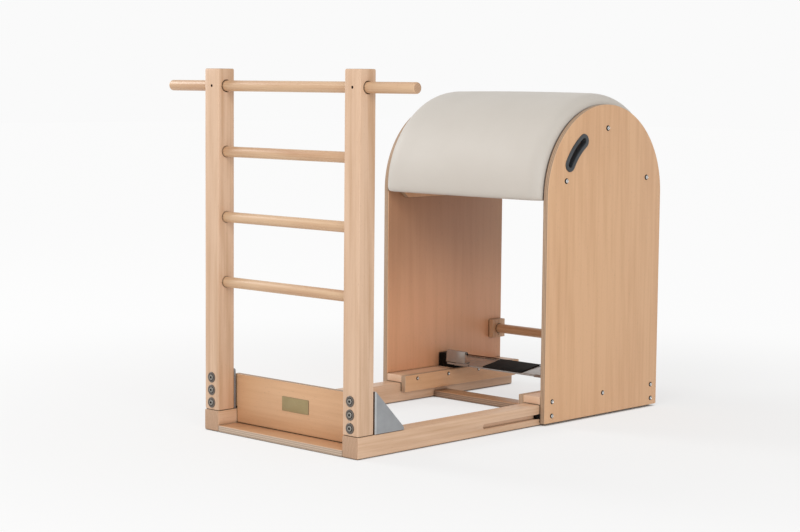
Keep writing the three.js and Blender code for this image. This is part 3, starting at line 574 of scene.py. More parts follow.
def effect(name, *inputs):
    """Keeps a shader node group that is built once; its function says what it gives out."""
    def new_sockets(tree, labels, way):
        for label in labels:
            kind = f"NodeSocket{SOCKETS.get(label, 'Float')}"
            tree.interface.new_socket(name=label, in_out=way, socket_type=kind)

    def keeper(build):
        def group():
            if name not in bpy.data.node_groups:
                tree = bpy.data.node_groups.new(name, "ShaderNodeTree")
                new_sockets(tree, inputs, "INPUT")
                given_out = build(tree, tree.nodes.new("NodeGroupInput").outputs)
                new_sockets(tree, given_out, "OUTPUT")
                wire(tree, tree.nodes.new("NodeGroupOutput").inputs, given_out)
            return bpy.data.node_groups[name]
        return group
    return keeper


@effect("timber grain", "Vector", "End", "Light", "Dark", "Cut", "Streak", "Fleck")
def timber_grain(tree, given):
    """Solid timber with its grain along Z: broad streaks, fine fibres, flecks and end grain."""
    place = given["Vector"]

    def drawn_out(pull, *looks):
        return noise(tree, stretched(tree, place, (1, 1, pull)), *looks)

    broad = drawn_out(0.07, 26, 2, 0.5, 0.3)
    figure = waves(tree, stretched(tree, place, (1, 1, 0.1)), 14.0, 7.0, 1.2,
                   wave_type="BANDS", bands_direction="DIAGONAL")
    fibre = drawn_out(0.035, 420, 3, 0.6)
    hair = drawn_out(0.02, 1500, 2, 0.6)
    lines = drawn_out(0.014, 120, 2, 0.5, 0.2)
    dark = 0.5
    for layer, strength in ((broad, 1.9), (lines, 1.3), (figure, 0.25), (fibre, 0.7), (hair, 0.35)):
        dark = calc(tree, "MULTIPLY_ADD", less(tree, layer, 0.5), strength, dark)
    dark = times(tree, less(tree, dark, 0.22), given["Streak"], clamp=True)
    flecks = ranged(tree, drawn_out(0.16, 640, 1, 0.5), 0.7, 0.76)
    flecks = times(tree, flecks, given["Fleck"])
    body = mixed(tree, flecks, mixed(tree, dark, given["Light"], given["Dark"]), given["Cut"])
    rings = waves(tree, place, 60.0, 3.0, 2.0, wave_type="RINGS", rings_direction="Z")
    pores = ranged(tree, noise(tree, place, 1400, 2, 0.6), 0.5, 0.75, 0, 0.4)
    sawn = mixed(tree, times(tree, rings, 0.45), given["Cut"], given["Light"])
    sawn = mixed(tree, pores, sawn, given["Dark"], "MULTIPLY")
    dull = calc(tree, "MULTIPLY_ADD", fibre, 0.18, 0.36)
    height = calc(tree, "MULTIPLY_ADD", hair, 0.4, fibre)
    return {
        "Color": mixed(tree, given["End"], body, sawn),
        "Roughness": calc(tree, "MULTIPLY_ADD", given["End"], 0.2, dull),
        "Height": less(tree, height, flecks)}


@effect("plywood layers", "Across", "Thickness", "Ply", "Vector")
def plywood_layers(tree, given):
    """The layers of plywood, counted from one face by the distance across the sheet."""
    waver = less(tree, noise(tree, given["Vector"], 60, 1), 0.5)
    depth = plus(tree, given["Across"], times(tree, waver, 0.0003))
    count = calc(tree, "DIVIDE", depth, given["Ply"])
    odd = calc(tree, "MODULO", calc(tree, "FLOOR", count), 2.0)
    seam = calc(tree, "ABSOLUTE", less(tree, calc(tree, "FRACT", count), 0.5))
    near = calc(tree, "MINIMUM", depth, less(tree, given["Thickness"], depth))
    return {
        "Core": calc(tree, "GREATER_THAN", near, times(tree, given["Ply"], 0.4)),
        "Layer": calc(tree, "ABSOLUTE", odd), "Glue": ranged(tree, seam, 0.43, 0.5)}


@effect("orange peel", "Vector", "Scale", "Light", "Dark", "Smooth", "Rough")
def orange_peel(tree, given):
    """The slight orange peel and tone of a sprayed or moulded skin."""
    cloud = noise(tree, given["Vector"], 18, 3, 0.6)
    return {
        "Color": mixed(tree, ranged(tree, cloud, 0.3, 0.7), given["Light"], given["Dark"]),
        "Roughness": between(tree, cloud, given["Smooth"], given["Rough"]),
        "Height": noise(tree, given["Vector"], given["Scale"], 3, 0.55)}


@effect("vinyl grain", "Vector", "Light", "Dark")
def vinyl_grain(tree, given):
    """Fine pebbled grain of upholstery vinyl, with soft changes of tone."""
    place = given["Vector"]
    shift = stretched(tree, noise(tree, place, 260.0, 1.0, output="Color"), (0.002,) * 3)
    bent = add(tree, "ShaderNodeVectorMath", {0: place, 1: shift}, operation="ADD").outputs[0]
    pebble = add(tree, "ShaderNodeTexVoronoi", {"Vector": bent, "Scale": 640.0},
                 feature="DISTANCE_TO_EDGE").outputs["Distance"]
    crease = ranged(tree, pebble, 0.0, 0.22)
    cloud = noise(tree, place, 5.5, 3, 0.55)
    dark = calc(tree, "MULTIPLY_ADD", less(tree, 1.0, crease), 0.16,
                times(tree, cloud, 0.5))
    return {
        "Color": mixed(tree, dark, given["Light"], given["Dark"]),
        "Roughness": calc(tree, "MULTIPLY_ADD", cloud, 0.16, 0.42), "Height": crease}


@effect("brushed metal", "Vector", "Light", "Dark", "Smooth", "Rough")
def brushed_metal(tree, given):
    """Drawn or brushed metal: fine lines along X with a few smudges."""
    lines = noise(tree, stretched(tree, given["Vector"], (0.03, 1, 1)), 2600, 2, 0.6)
    smudge = noise(tree, given["Vector"], 24, 4, 0.6, 0.4)
    dark = calc(tree, "MULTIPLY_ADD", lines, 0.45, times(tree, smudge, 0.55))
    return {
        "Color": mixed(tree, dark, given["Light"], given["Dark"]),
        "Roughness": between(tree, smudge, given["Smooth"], given["Rough"]), "Height": lines}


def grain_place(tree, coords, axis):
    """The place with its grain turned to Z, how far the surface faces along it, and the X, Y and Z."""
    parts = add(tree, "ShaderNodeSeparateXYZ", {"Vector": coords["Object"]}).outputs
    order = {"X": "YZX", "Y": "ZXY", "Z": "XYZ"}[axis]
    place = add(tree, "ShaderNodeCombineXYZ", {
        letter: parts[source] for letter, source in zip("XYZ", order)}).outputs[0]
    facing = add(tree, "ShaderNodeSeparateXYZ", {"Vector": coords["Normal"]}).outputs[axis]
    return place, ranged(tree, calc(tree, "ABSOLUTE", facing), 0.6, 0.85), parts


def painted_crevice_shade(tree, shown, reach, depth):
    """The colour darkened by ambient occlusion where the surface meets another piece: a painted shade in
    the creases.
    """
    if not reach:
        return shown
    near = add(tree, "ShaderNodeAmbientOcclusion", {"Distance": reach}, samples=6).outputs["AO"]
    return mixed(tree, ranged(tree, near, 0.25, 0.85, depth, 0.0), shown, PAINTED_SHADE)


def surface(tree, group, values, reach, depth, relief, step):
    """The outputs of an effect with its own values, and what it gives the shader by itself."""
    made = add(tree, "ShaderNodeGroup", values, node_tree=group)
    bump = add(tree, "ShaderNodeBump", {
        "Height": made.outputs["Height"], "Strength": relief, "Distance": step})
    # the base colour takes painted shade near other pieces, as far as the reach
    return {
        "Base Color": painted_crevice_shade(tree, made.outputs["Color"], reach, depth),
        "Roughness": made.outputs["Roughness"], "Normal": bump.outputs["Normal"]}


# Materials


def kept(mix):
    """Mixes a paint when its name is first asked for; its function says what the shader is given."""
    def paint(name, *given, **settings):
        if name not in bpy.data.materials:
            made = bpy.data.materials.new(name)
            made.use_nodes = True
            tree = made.node_tree
            tree.nodes.clear()
            coords = tree.nodes.new("ShaderNodeTexCoord").outputs
            shader = add(tree, "ShaderNodeBsdfPrincipled", mix(tree, coords, *given, **settings))
            add(tree, "ShaderNodeOutputMaterial", {"Surface": shader.outputs["BSDF"]})
        return bpy.data.materials[name]
    return paint


@kept
def timber_paint(tree, coords, axis, light, dark, sawn, streak, fleck):
    """Lacquered solid timber with its grain along one axis."""
    place, end, _ = grain_place(tree, coords, axis)
    values = {"Vector": place, "End": end, "Light": tone(light), "Dark": tone(dark),
              "Cut": tone(sawn), "Streak": streak, "Fleck": fleck}
    return {**surface(tree, timber_grain(), values, 0.007, 0.85, 0.25, 0.0002),
            "Coat Weight": 0.12, "Coat Roughness": 0.3}


@kept
def ply_paint(tree, coords, grain, across, low, thickness, centre=None, light="ply_face",
              dark="ply_dark", layer="ply_light", deep="ply_deep", edge=0.0, painted_shade_above=0.0):
    """Lacquered plywood: a face veneer with its grain along one axis, and layers across the sheet."""
    place, _, parts = grain_place(tree, coords, grain)
    if centre:
        away = [less(tree, parts[axis], middle) for axis, middle in zip("YZ", centre)]
        squares = [times(tree, part, part) for part in away]
        distance = calc(tree, "SQRT", plus(tree, *squares))
    else:
        distance = calc(tree, "ABSOLUTE", parts["X"]) if across == "X" else parts[across]
    layers = add(tree, "ShaderNodeGroup", {
        "Across": less(tree, distance, low), "Thickness": thickness,
        "Ply": sizes().ply, "Vector": coords["Object"]}, node_tree=plywood_layers())
    core, glue = layers.outputs["Core"], layers.outputs["Glue"]
    wood = add(tree, "ShaderNodeGroup", {
        "Vector": place, "End": 0.0, "Light": tone(light), "Dark": tone(dark),
        "Cut": tone("ply_deep"), "Streak": 0.28 if painted_shade_above else 0.42, "Fleck": 0.4,
    }, node_tree=timber_grain())
    stripe = mixed(tree, layers.outputs["Layer"], tone(layer), tone(deep))
    glue_brown, painted_pad_gap_shadow = tint("6a5240"), tint("4a3a2c")
    stripe = mixed(tree, times(tree, glue, 0.5), stripe, glue_brown)
    streaky = ranged(tree, noise(tree, coords["Object"], 900, 2, 0.6), 0.45, 0.75, 0, 0.35)
    stripe = mixed(tree, streaky, stripe, tone(deep))
    # Painted shadow: a dark line along the arch's inner rim, in the gap where the pad meets the panel.
    if edge:
        beside = calc(tree, "GREATER_THAN", parts["Z"], box_of("barrel_pad")[0].z)
        line = times(tree, calc(tree, "LESS_THAN", distance, low + edge), beside)
        stripe = mixed(tree, line, stripe, painted_pad_gap_shadow)
    # painted shade where other pieces are near
    whole = painted_crevice_shade(tree, mixed(tree, core, wood.outputs["Color"], stripe), 0.007, 0.85)
    # Painted shade: the faces darken towards the top, as under the pad.
    if painted_shade_above:
        whole = mixed(tree, ranged(tree, parts["Z"], 0.22, 0.52, 0.0, painted_shade_above), whole, PAINTED_SHADE)
    height = less(tree, wood.outputs["Height"], times(tree, glue, core))
    bump = add(tree, "ShaderNodeBump", {"Height": height, "Strength": 0.25, "Distance": 0.0002})
    return {
        "Base Color": whole, "Normal": bump.outputs["Normal"],
        "Roughness": calc(tree, "MULTIPLY_ADD", core, 0.22, wood.outputs["Roughness"]),
        "Coat Weight": 0.1, "Coat Roughness": 0.32}


@kept
def skin_paint(tree, coords, light, dark, smooth, rough, scale=1600.0, relief=0.15, gloss=0.5,
               shaded=0.0):
    """A sprayed, moulded or rubber skin."""
    values = {"Vector": coords["Object"], "Scale": scale, "Light": tone(light), "Dark": tone(dark),
              "Smooth": smooth, "Rough": rough}
    return {**surface(tree, orange_peel(), values, shaded, 0.95, relief, 0.0003),
            "Specular IOR Level": gloss}


@kept
def metal_paint(tree, coords, light, dark, smooth, rough, metallic=1.0, relief=0.12, shaded=0.0):
    """Brushed or drawn metal."""
    values = {"Vector": coords["Object"], "Light": tone(light), "Dark": tone(dark),
              "Smooth": smooth, "Rough": rough}
    return {**surface(tree, brushed_metal(), values, shaded, 0.9, relief, 0.0001),
            "Metallic": metallic}


@kept
def vinyl_paint(tree, coords, light, dark):
    """Upholstery vinyl with a soft sheen."""
    values = {"Vector": coords["Object"], "Light": tone(light), "Dark": tone(dark)}
    # the 6 mm reach darkens the pad's sides beside the panels with painted shade
    return {**surface(tree, vinyl_grain(), values, 0.006, 0.9, 0.22, 0.0003),
            "Sheen Weight": 0.08, "Sheen Roughness": 0.5}


# Each wood has its light, dark and sawn colours, and how streaked and flecked it is
WOODS = {
    "maple": ("maple", "maple_dark", "maple_end", 0.9, 0.5),
    "pale maple": ("maple", "maple_dark", "e2bfa2", 0.7, 0.4),
    "beech": ("beech", "beech_dark", "maple_end", 1.0, 0.7),
}

# Each coat has its mix, its light and dark colours, its least and most roughness, and what is its own
COATS = {
    "grey powder coat": (skin_paint, "powder", "8f9194", 0.3, 0.42,
                         {"scale": 1300.0, "relief": 0.1, "shaded": 0.018}),
    # a lighter powder coat that serves as a painted highlight on the bend
    "powder coat on the fold": (skin_paint, "b7babb", "abaeaf", 0.28, 0.4,
                                {"scale": 1300.0, "relief": 0.1}),
    "dark recess": (skin_paint, "17130f", "0d0b0a", 0.5, 0.7, {"gloss": 0.1}),
    # dark brown for painted shade in the bores and a painted reflection of dark wood on the brackets
    "wood burnt brown by the drill": (skin_paint, "4e2f1b", "3a2212", 0.7, 0.85, {"gloss": 0.05}),
    "black nylon": (skin_paint, "0b0a0a", "060606", 0.5, 0.65,
                    {"scale": 900.0, "relief": 0.2, "gloss": 0.15}),
    "black rubber": (skin_paint, "161311", "0e0c0b", 0.7, 0.85,
                     {"scale": 700.0, "relief": 0.4, "gloss": 0.2}),
    "dark plastic": (skin_paint, "plastic", "2b2f33", 0.35, 0.5, {"scale": 1500.0, "relief": 0.25}),
    "zinc plate": (metal_paint, "c9c8c6", "9a9793", 0.24, 0.42, {}),
    "bright plate of the screws": (metal_paint, "f2f1ef", "cfcdca", 0.1, 0.22, {}),
    "dull zinc plate": (metal_paint, "7d756f", "5c5650", 0.25, 0.42, {"metallic": 0.85}),
    "zinc plate of the bolt heads": (metal_paint, "aaa69f", "7b7772", 0.2, 0.36, {}),
    "satin brass": (metal_paint, "b3a17a", "8e7c54", 0.28, 0.4, {"metallic": 0.7}),
    "bare steel": (metal_paint, "steel", "918983", 0.16, 0.28,
                   {"metallic": 0.5, "relief": 0.03, "shaded": 0.03}),
}


def timber_of(kind, axis):
    return timber_paint(f"{kind} along {axis}", axis, *WOODS[kind])


def coat(name):
    mix, *values, own = COATS[name]
    return mix(name, *values, **own)

# Outlines that more than one piece follows

HAND_SLOT = 0.0214  # width of the slot in the wood


def rounded_outline(a0, a1, b0, b1, radius, steps=4):
    return (arc(a1 - radius, b0 + radius, radius, -90, 0, steps)
            + arc(a1 - radius, b1 - radius, radius, 0, 90, steps)
            + arc(a0 + radius, b1 - radius, radius, 90, 180, steps)
            + arc(a0 + radius, b0 + radius, radius, 180, 270, steps))


def slot_outline(width, steps=20):
    """The curved hand slot, with round ends, of a given width."""
    radius, start, end, half = 0.1852, 124, 151, width / 2
    ends = [(arch_y + radius * math.cos(math.radians(turn)), arch_z + radius * math.sin(math.radians(turn)))
            for turn in (start, end)]
    return (arc(arch_y, arch_z, radius + half, start, end, steps)
            + arc(*ends[1], half, end, end + 180, 12)[1:-1]
            + arc(arch_y, arch_z, radius - half, end, start, steps)
            + arc(*ends[0], half, start + 180, start + 360, 12)[1:-1])


def slot_cutter(width, x0, x1):
    return plate("cutter", slot_outline(width), "X", x0 - OVER, x1 + OVER)


# Ladder


class BARREL_OT_uprights(bpy.types.Operator):
    """Shape the two posts, bored for the bar and the rungs"""
    bl_idname = "barrel.uprights"
    bl_label = "Uprights"

    def execute(self, context):
        low, high = box_of("upright_right")
        post = timber("upright", low, high, "Z", sizes().post_round, 0.0035)
        bar_low, bar_high = box_of("top_bar")
        radius, width, ease = (bar_high.z - bar_low.z) / 2 + 0.0014, high.x - low.x, 0.001
        mouth = radius + ease
        cutters = [turned("cutter", [
            (mouth, -OVER), (mouth, 0), (radius, ease), (radius, width - ease), (mouth, width),
            (mouth, width + OVER)], (low.x, bar.y, bar.z), "X", 64)]
        for number in NUMBERS:
            rung_low, rung_high = box_of(f"rung_{number}")
            socket = (low.x, bar.y, middle_of(f"rung_{number}").z)
            cutters.append(bore((rung_high.z - rung_low.z) / 2 + 0.0004,
                                rung_high.x - low.x + 0.0003, socket, "X", 64, 0.0006, 0.0006))
            bolt = (post_x, low.y, middle_of(f"upright_bolt_right_{number}").z)
            cutters.append(bore(BOLT_HOLE, high.y - low.y + OVER, bolt, "Y"))
        grub = [(0.0042, -OVER), (0.0042, 0), (0.0036, 0.0006), (0.0035, bar.y - low.y)]
        cutters.append(turned("cutter", grub, (post_x, low.y, bar.z), "Y", 32))
        cut(post, *cutters)
        both_sides(post, timber_of("maple", "Z"), "ladder_base", "maple", "upright")
        for side, sign in SIDES:
            # The bore's walls round the bar and the set screw's hole are painted dark brown: painted shade
            # in those gaps.
            touch_up(f"{side}_upright", [coat("wood burnt brown by the drill")], lambda face: (
                math.hypot(face.center.y - bar.y, face.center.z - bar.z) < radius + 0.0002
                or math.hypot(face.center.x - sign * post_x, face.center.z - bar.z) < 0.0038))
        return {"FINISHED"}


class BARREL_OT_top_bar(bpy.types.Operator):
    """Turn the long bar through the posts, with rounded ends"""
    bl_idname = "barrel.top_bar"
    bl_label = "Top bar"

    def execute(self, context):
        piece = round_bar("long_top_bar", "top_bar", 0.005, 6)
        seat(piece, timber_of("beech", "X"), "ladder_base", "beech", "top_bar")
        return {"FINISHED"}


class BARREL_OT_rungs(bpy.types.Operator):
    """Turn the three rungs"""
    bl_idname = "barrel.rungs"
    bl_label = "Rungs"

    def execute(self, context):
        for number in NUMBERS:
            node = f"rung_{number}"
            piece = round_bar(f"round_{node}", node, 0.0015, 3)
            seat(piece, timber_of("beech", "X"), "ladder_base", "beech", node)
        return {"FINISHED"}


# Profiles of a bolt, as radius and distance into the post: its cap with the dished washer, and its key
BOLT_HEAD = (
    (0.0062, -0.0034), (0.0071, -0.0032), (0.0075, -0.0027), (0.0075, -0.0014), (0.0086, -0.0012),
    (0.0090, -0.0019), (0.0112, -0.0024), (0.0130, -0.0022), (0.0138, -0.0015), (0.0140, -0.0006),
    (0.0138, 0.0), (0.0040, 0.0),
)
BOLT_KEY = ((0.0036, -0.006), (0.0036, -0.0034), (0.0030, -0.0030), (0.0030, -0.0008))
class BARREL_OT_bolts(bpy.types.Operator):
    """Turn the socket-headed bolts with their dished washers, and finish the set screws"""
    bl_idname = "barrel.bolts"
    bl_label = "Bolts"

    def execute(self, context):
        face = box_of("upright_right")[0].y
        for side, _ in SIDES:
            for number in NUMBERS:
                node = f"upright_bolt_{side}_{number}"
                end = box_of(node)[1].y - face
                start = Vector((middle_of(node).x, face, middle_of(node).z))
                profile = [*BOLT_HEAD, (0.0040, end - 0.0005), (0.0035, end)]
                bolt = turned(f"{side}_socket_bolt_{number}", profile, start, "Y", 48)
                cut(bolt, turned("cutter", BOLT_KEY, start, "Y", 6))
                seat(bolt, coat("dull zinc plate"), "ladder_base", "zinc_steel", node)
                touch_up(bolt.name, [coat("zinc plate of the bolt heads"), coat("dark recess")],
                         lambda part: self.layer(part.center - start))
            # The set screw is painted near black: black oxide, and painted shade in its deep hole.
            repaint(f"grub_screw_{side}", coat("dark recess"))
        return {"FINISHED"}

    def layer(self, place):
        """Painted shade for the key's recess and the gap round the cap, then the cap's plate, then the
        washer's.
        """
        key, cap, gap = 0.0031, 0.0076, 0.0088
        away = math.hypot(place.x, place.z)
        if away < key and place.y < 0 or cap < away < gap:
            return 2
        return away < cap


class BARREL_OT_brackets(bpy.types.Operator):
    """Fold the corner brackets that tie the posts to the rails"""
    bl_idname = "barrel.brackets"
    bl_label = "Corner brackets"

    def execute(self, context):
        low, high = box_of("corner_bracket_right")
        wall, nose, bend, fold, past = 0.005, 0.007, 0.006, 0.0095, 0.01
        inner, sole_inner = low.x + 0.007, high.x - 0.048
        web = plate("corner_bracket", [
            (inner, low.y), *arc(high.x - fold, low.y + fold, fold, -90, 0, 8), (high.x, high.y),
            (high.x - wall, high.y), (high.x - wall, low.y + wall), (inner, low.y + wall),
        ], "Z", low.z, high.z)
        round_edges(web, both(at("X", inner), at("Z", high.z)), bend, 5)
        cut(web, plate("cutter", [
            (high.y, low.z + nose), (high.y + past, low.z + nose), (high.y + past, high.z + past),
            (low.y + nose, high.z + past), (low.y + nose, high.z)], "X", inner, high.x + past))
        welded(web, plate("sole", [
            (sole_inner, low.y + fold), (high.x, low.y + fold),
            *arc(high.x - wall, high.y - wall, wall, 0, 90, 4),
            *arc(sole_inner + bend, high.y - bend, bend, 90, 180, 5)], "Z", low.z, low.z + wall))
        cut(web, *(
            bore(BOLT_HOLE, 0.012, (post_x, low.y, middle_of(f"upright_bolt_right_{number}").z), "Y")
            for number in NUMBERS))
        round_edges(web, sharp(50), 0.0006, 2)
        both_sides(web, coat("grey powder coat"), "ladder_base", "grey_powder_coat", "corner_bracket")
        for side, sign in SIDES:
            touch_up(f"{side}_corner_bracket",
                     [coat("powder coat on the fold"), coat("wood burnt brown by the drill")],
                     lambda face: self.layer(face.normal, sign))
        return {"FINISHED"}

    def layer(self, normal, sign):
        """A painted highlight on the strip of the fold beside the flange, and a painted reflection of dark
        wood on the strip before it.
        """
        if normal.y >= -0.05 or abs(normal.z) >= 0.1:
            return 0
        mirror_starts, highlight_starts, flange = 0.5, 0.84, 0.998
        outwards = normal.x * sign
        return 2 if mirror_starts < outwards < highlight_starts else highlight_starts < outwards < flange


# Base


class BARREL_OT_rails(bpy.types.Operator):
    """Shape the two floor rails with the slots that guide the barrel"""
    bl_idname = "barrel.rails"
    bl_label = "Floor rails"

    def execute(self, context):
        low, high = box_of("rail_right")
        rail = timber("floor_rail", low, high, "Y", sizes().post_round, 0.003)
        slide = next(joint for joint in frame["joints"] if joint["name"] == "barrel_slide")
        spare, slot_low, slot_high = 0.0024, 0.0185, 0.0315
        front = box_of("slot_guide_front_right")[0].y + min(slide["range_m"]) - spare
        rear = box_of("slot_guide_rear_right")[1].y + spare
        slot = rounded_outline(front, rear, slot_low, slot_high, 0.0064, 8)
        cut(rail, plate("cutter", slot, "X", high.x - 0.012, high.x + OVER))
        round_edges(rail, both(
            at("X", high.x), sharp(70),
            lambda edge: slot_low - 0.0005 < halfway(edge).z < slot_high + 0.0005), 0.0006, 2)
        both_sides(rail, timber_of("maple", "Y"), "ladder_base", "maple", "rail")
        return {"FINISHED"}


class BARREL_OT_boards(bpy.types.Operator):
    """Shape the two boards that join the rails on the floor"""
    bl_idname = "barrel.boards"
    bl_label = "Step and cross boards"

    def execute(self, context):
        for node, name, light, layer, deep in (
                ("front_step_board", "plywood_step_board", "c99d78", "cdb8a4", "b09a86"),
                ("rear_cross_board", "plywood_cross_board", "c59872", "b0927a", "8a6e5a")):
            low, high = box_of(node)
            piece = board(name, low, high, sizes().board_round)
            paint = ply_paint(f"plywood of the {node}", "X", "Z", low.z, high.z - low.z,
                              light=light, layer=layer, deep=deep)
            seat(piece, paint, "ladder_base", "plywood", node)
        return {"FINISHED"}


class BARREL_OT_kick_panel(bpy.types.Operator):
    """Shape the notched kick panel and its bare plate"""
    bl_idname = "barrel.kick_panel"
    bl_label = "Kick panel and plate"

    def execute(self, context):
        low, high = box_of("kick_panel")
        rail_low, rail_high = box_of("rail_right")
        foot, end, top = low.z + 0.0009, high.x + 0.0056, high.z
        notch_x, notch_z = rail_low.x - 0.0002, rail_high.z + 0.0062
        piece = plate("notched_kick_panel", [
            (-notch_x, foot), (notch_x, foot), (notch_x, notch_z), (end, notch_z),
            (end, top), (-end, top), (-end, notch_z), (-notch_x, notch_z)], "Y", low.y, high.y)
        round_edges(piece, sharp(50), 0.0019, 3)
        paint = ply_paint("plywood of the kick panel", "X", "Y", low.y, high.y - low.y)
        seat(piece, paint, "ladder_base", "plywood", "kick_panel")
        low, high = box_of("name_plate")
        corners = rounded_outline(low.x, high.x, low.z, high.z, 0.0015, 4)
        tag = plate("bare_brass_plate", corners, "Y", low.y, high.y)
        round_edges(tag, at("Y", low.y), 0.0004, 2)
        seat(tag, coat("satin brass"), "ladder_base", "brass", "name_plate")
        # The plate's rim and back take dark dull zinc: a painted shade along its edge.
        touch_up(tag.name, [coat("dull zinc plate")], lambda face: face.normal.y > -0.9)
        return {"FINISHED"}


# Barrel


class BARREL_OT_side_panels(bpy.types.Operator):
    """Shape the arched plywood sides with their hand slots"""
    bl_idname = "barrel.side_panels"
    bl_label = "Side panels"

    def execute(self, context):
        low, high = panel_low + Vector((0, 0, 0.001)), panel_high
        toe = 0.003
        panel = plate("arched_panel", [
            *arc(high.y - toe, low.z + toe, toe, -90, 0, 5), *arc(arch_y, arch_z, arch_radius, 0, 180, 120),
            *arc(low.y + toe, low.z + toe, toe, 180, 270, 5)], "X", panel_inner, panel_outer)
        round_edges(panel, at("X", panel_inner, panel_outer), sizes().panel_round, 4)
        cut(panel, slot_cutter(HAND_SLOT, panel_inner, panel_outer))
        sheet = ("Z", "X", panel_inner, panel_outer - panel_inner)
        # the edge gives the painted shadow line beside the pad
        paint = ply_paint("plywood of the side panels", *sheet, edge=0.0024)
        both_sides(panel, paint, "barrel_carriage", "plywood", "side_panel")
        # The inner faces take the redder veneer and darken towards the top: painted shade inside the
        # barrel.
        inner = ply_paint("inner veneer of the side panels", *sheet,
                          light="ply_inner_shaded", dark="ply_inner_shaded_grain", painted_shade_above=0.42)
        for side, sign in SIDES:
            touch_up(f"{side}_arched_panel", [inner], lambda face: face.normal.x * sign < -0.9)
        return {"FINISHED"}


class BARREL_OT_grommets(bpy.types.Operator):
    """Mould the flanged linings of the hand slots"""
    bl_idname = "barrel.grommets"
    bl_label = "Hand slot linings"

    def execute(self, context):
        top = box_of("hand_slot_grommet_right")[1].x
        flange = plate("slot_lining", slot_outline(0.04), "X", panel_outer, top)
        round_edges(flange, at("X", top), 0.0016, 4)
        welded(flange, plate("sleeve", slot_outline(0.021), "X", panel_inner, panel_outer + 0.001))
        cut(flange, slot_cutter(0.017, panel_inner, top))
        round_edges(flange, both(at("X", top), sharp(70)), 0.0014, 3)
        both_sides(flange, coat("dark plastic"), "barrel_carriage", "dark_plastic", "hand_slot_grommet")
        return {"FINISHED"}


class BARREL_OT_formers(bpy.types.Operator):
    """Shape the arched boards, the bent shell and the battens under the pad"""
    bl_idname = "barrel.formers"
    bl_label = "Formers, shell and battens"

    def execute(self, context):
        low, high = box_of("arch_former_right")
        shell_low, shell_high = box_of("barrel_shell")
        outer = shell_high.z - arch_z
        inner = outer - SHELL
        reach, foot_half = inner - 0.0003, 0.186
        shoulder = math.degrees(math.asin((arch_z - shell_low.z) / reach))
        former = plate("arched_former", [
            (arch_y - foot_half, low.z), (arch_y + foot_half, low.z),
            *arc(arch_y, arch_z, reach, -shoulder, 180 + shoulder, 96)], "X", low.x, high.x)
        round_edges(former, at("X", low.x), sizes().board_round, 3)
        cut(former, slot_cutter(HAND_SLOT, low.x, high.x))
        paint = ply_paint("plywood of the formers", "Z", "X", low.x, high.x - low.x)
        both_sides(former, paint, "barrel_carriage", "plywood", "arch_former")
        shell = plate("bent_shell", [
            (arch_y + inner, shell_low.z), (arch_y + outer, shell_low.z),
            *arc(arch_y, arch_z, outer, 0, 180, 96), (arch_y - outer, shell_low.z),
            (arch_y - inner, shell_low.z), *arc(arch_y, arch_z, inner, 180, 0, 96),
        ], "X", shell_low.x, shell_high.x)
        paint = ply_paint("plywood of the shell", "X", "Z", inner, SHELL, centre=(arch_y, arch_z))
        seat(shell, paint, "barrel_carriage", "plywood", "barrel_shell")
        for node in ("shell_batten_top", "shell_batten_front", "shell_batten_rear"):
            batten = board(f"planed_{node}", *box_of(node), sizes().board_round)
            seat(batten, timber_of("maple", "X"), "barrel_carriage", "maple", node)
        return {"FINISHED"}


class BARREL_OT_pad(bpy.types.Operator):
    """Swell the upholstered pad from its remeshed form under the pressure of its foam"""
    bl_idname = "barrel.pad"
    bl_label = "Pad"

    def execute(self, context):
        deselect_everything()
        pad = in_scene("vinyl_pad", frame["nodes"]["barrel_pad"].data.copy())
        with shaping(pad):
            bpy.ops.mesh.select_all(action="SELECT")
            bpy.ops.mesh.remove_doubles(threshold=1e-5)
        modify(pad, "REMESH", mode="VOXEL", voxel_size=sizes().pad_voxel)
        modify(pad, "SMOOTH", factor=0.5, iterations=5)
        self.swell(context, pad)
        modify(pad, "SUBSURF", levels=1, render_levels=1)
        paint = vinyl_paint("pad vinyl", "vinyl", "beb7ad")
        seat(pad, paint, "barrel_carriage", "vinyl", "barrel_pad", smooth=180)
        return {"FINISHED"}

    def swell(self, context, pad):
        """Runs the cloth under pressure, then keeps each point within the cap and off the wooden arch."""
        last_frame, stiffness, under_side = 20, 25.0, 0.228
        rest = [point.co.copy() for point in pad.data.vertices]
        cloth = pad.modifiers.new("cloth", "CLOTH")
        cloth.settings.use_pressure = True
        cloth.settings.uniform_pressure_force = 4.0
        cloth.settings.effector_weights.gravity = 0.0
        cloth.settings.tension_stiffness = cloth.settings.compression_stiffness = stiffness
        cloth.settings.quality = 6
        cloth.point_cache.frame_start, cloth.point_cache.frame_end = 1, last_frame
        for step in range(1, last_frame + 1):
            context.scene.frame_set(step)
        apply_modifiers(pad)
        context.scene.frame_set(1)
        cap = sizes().pad_swell
        wall = panel_inner - 0.0003
        for point, start in zip(pad.data.vertices, rest):
            move = point.co - start
            if move.length > cap:
                move *= cap / move.length
            away = Vector((0, start.y - arch_y, start.z - arch_z))
            if away.length < under_side or start.z < arch_z + 0.001:
                move *= 0.0
            point.co = start + move
            point.co.x = max(-wall, min(wall, point.co.x))


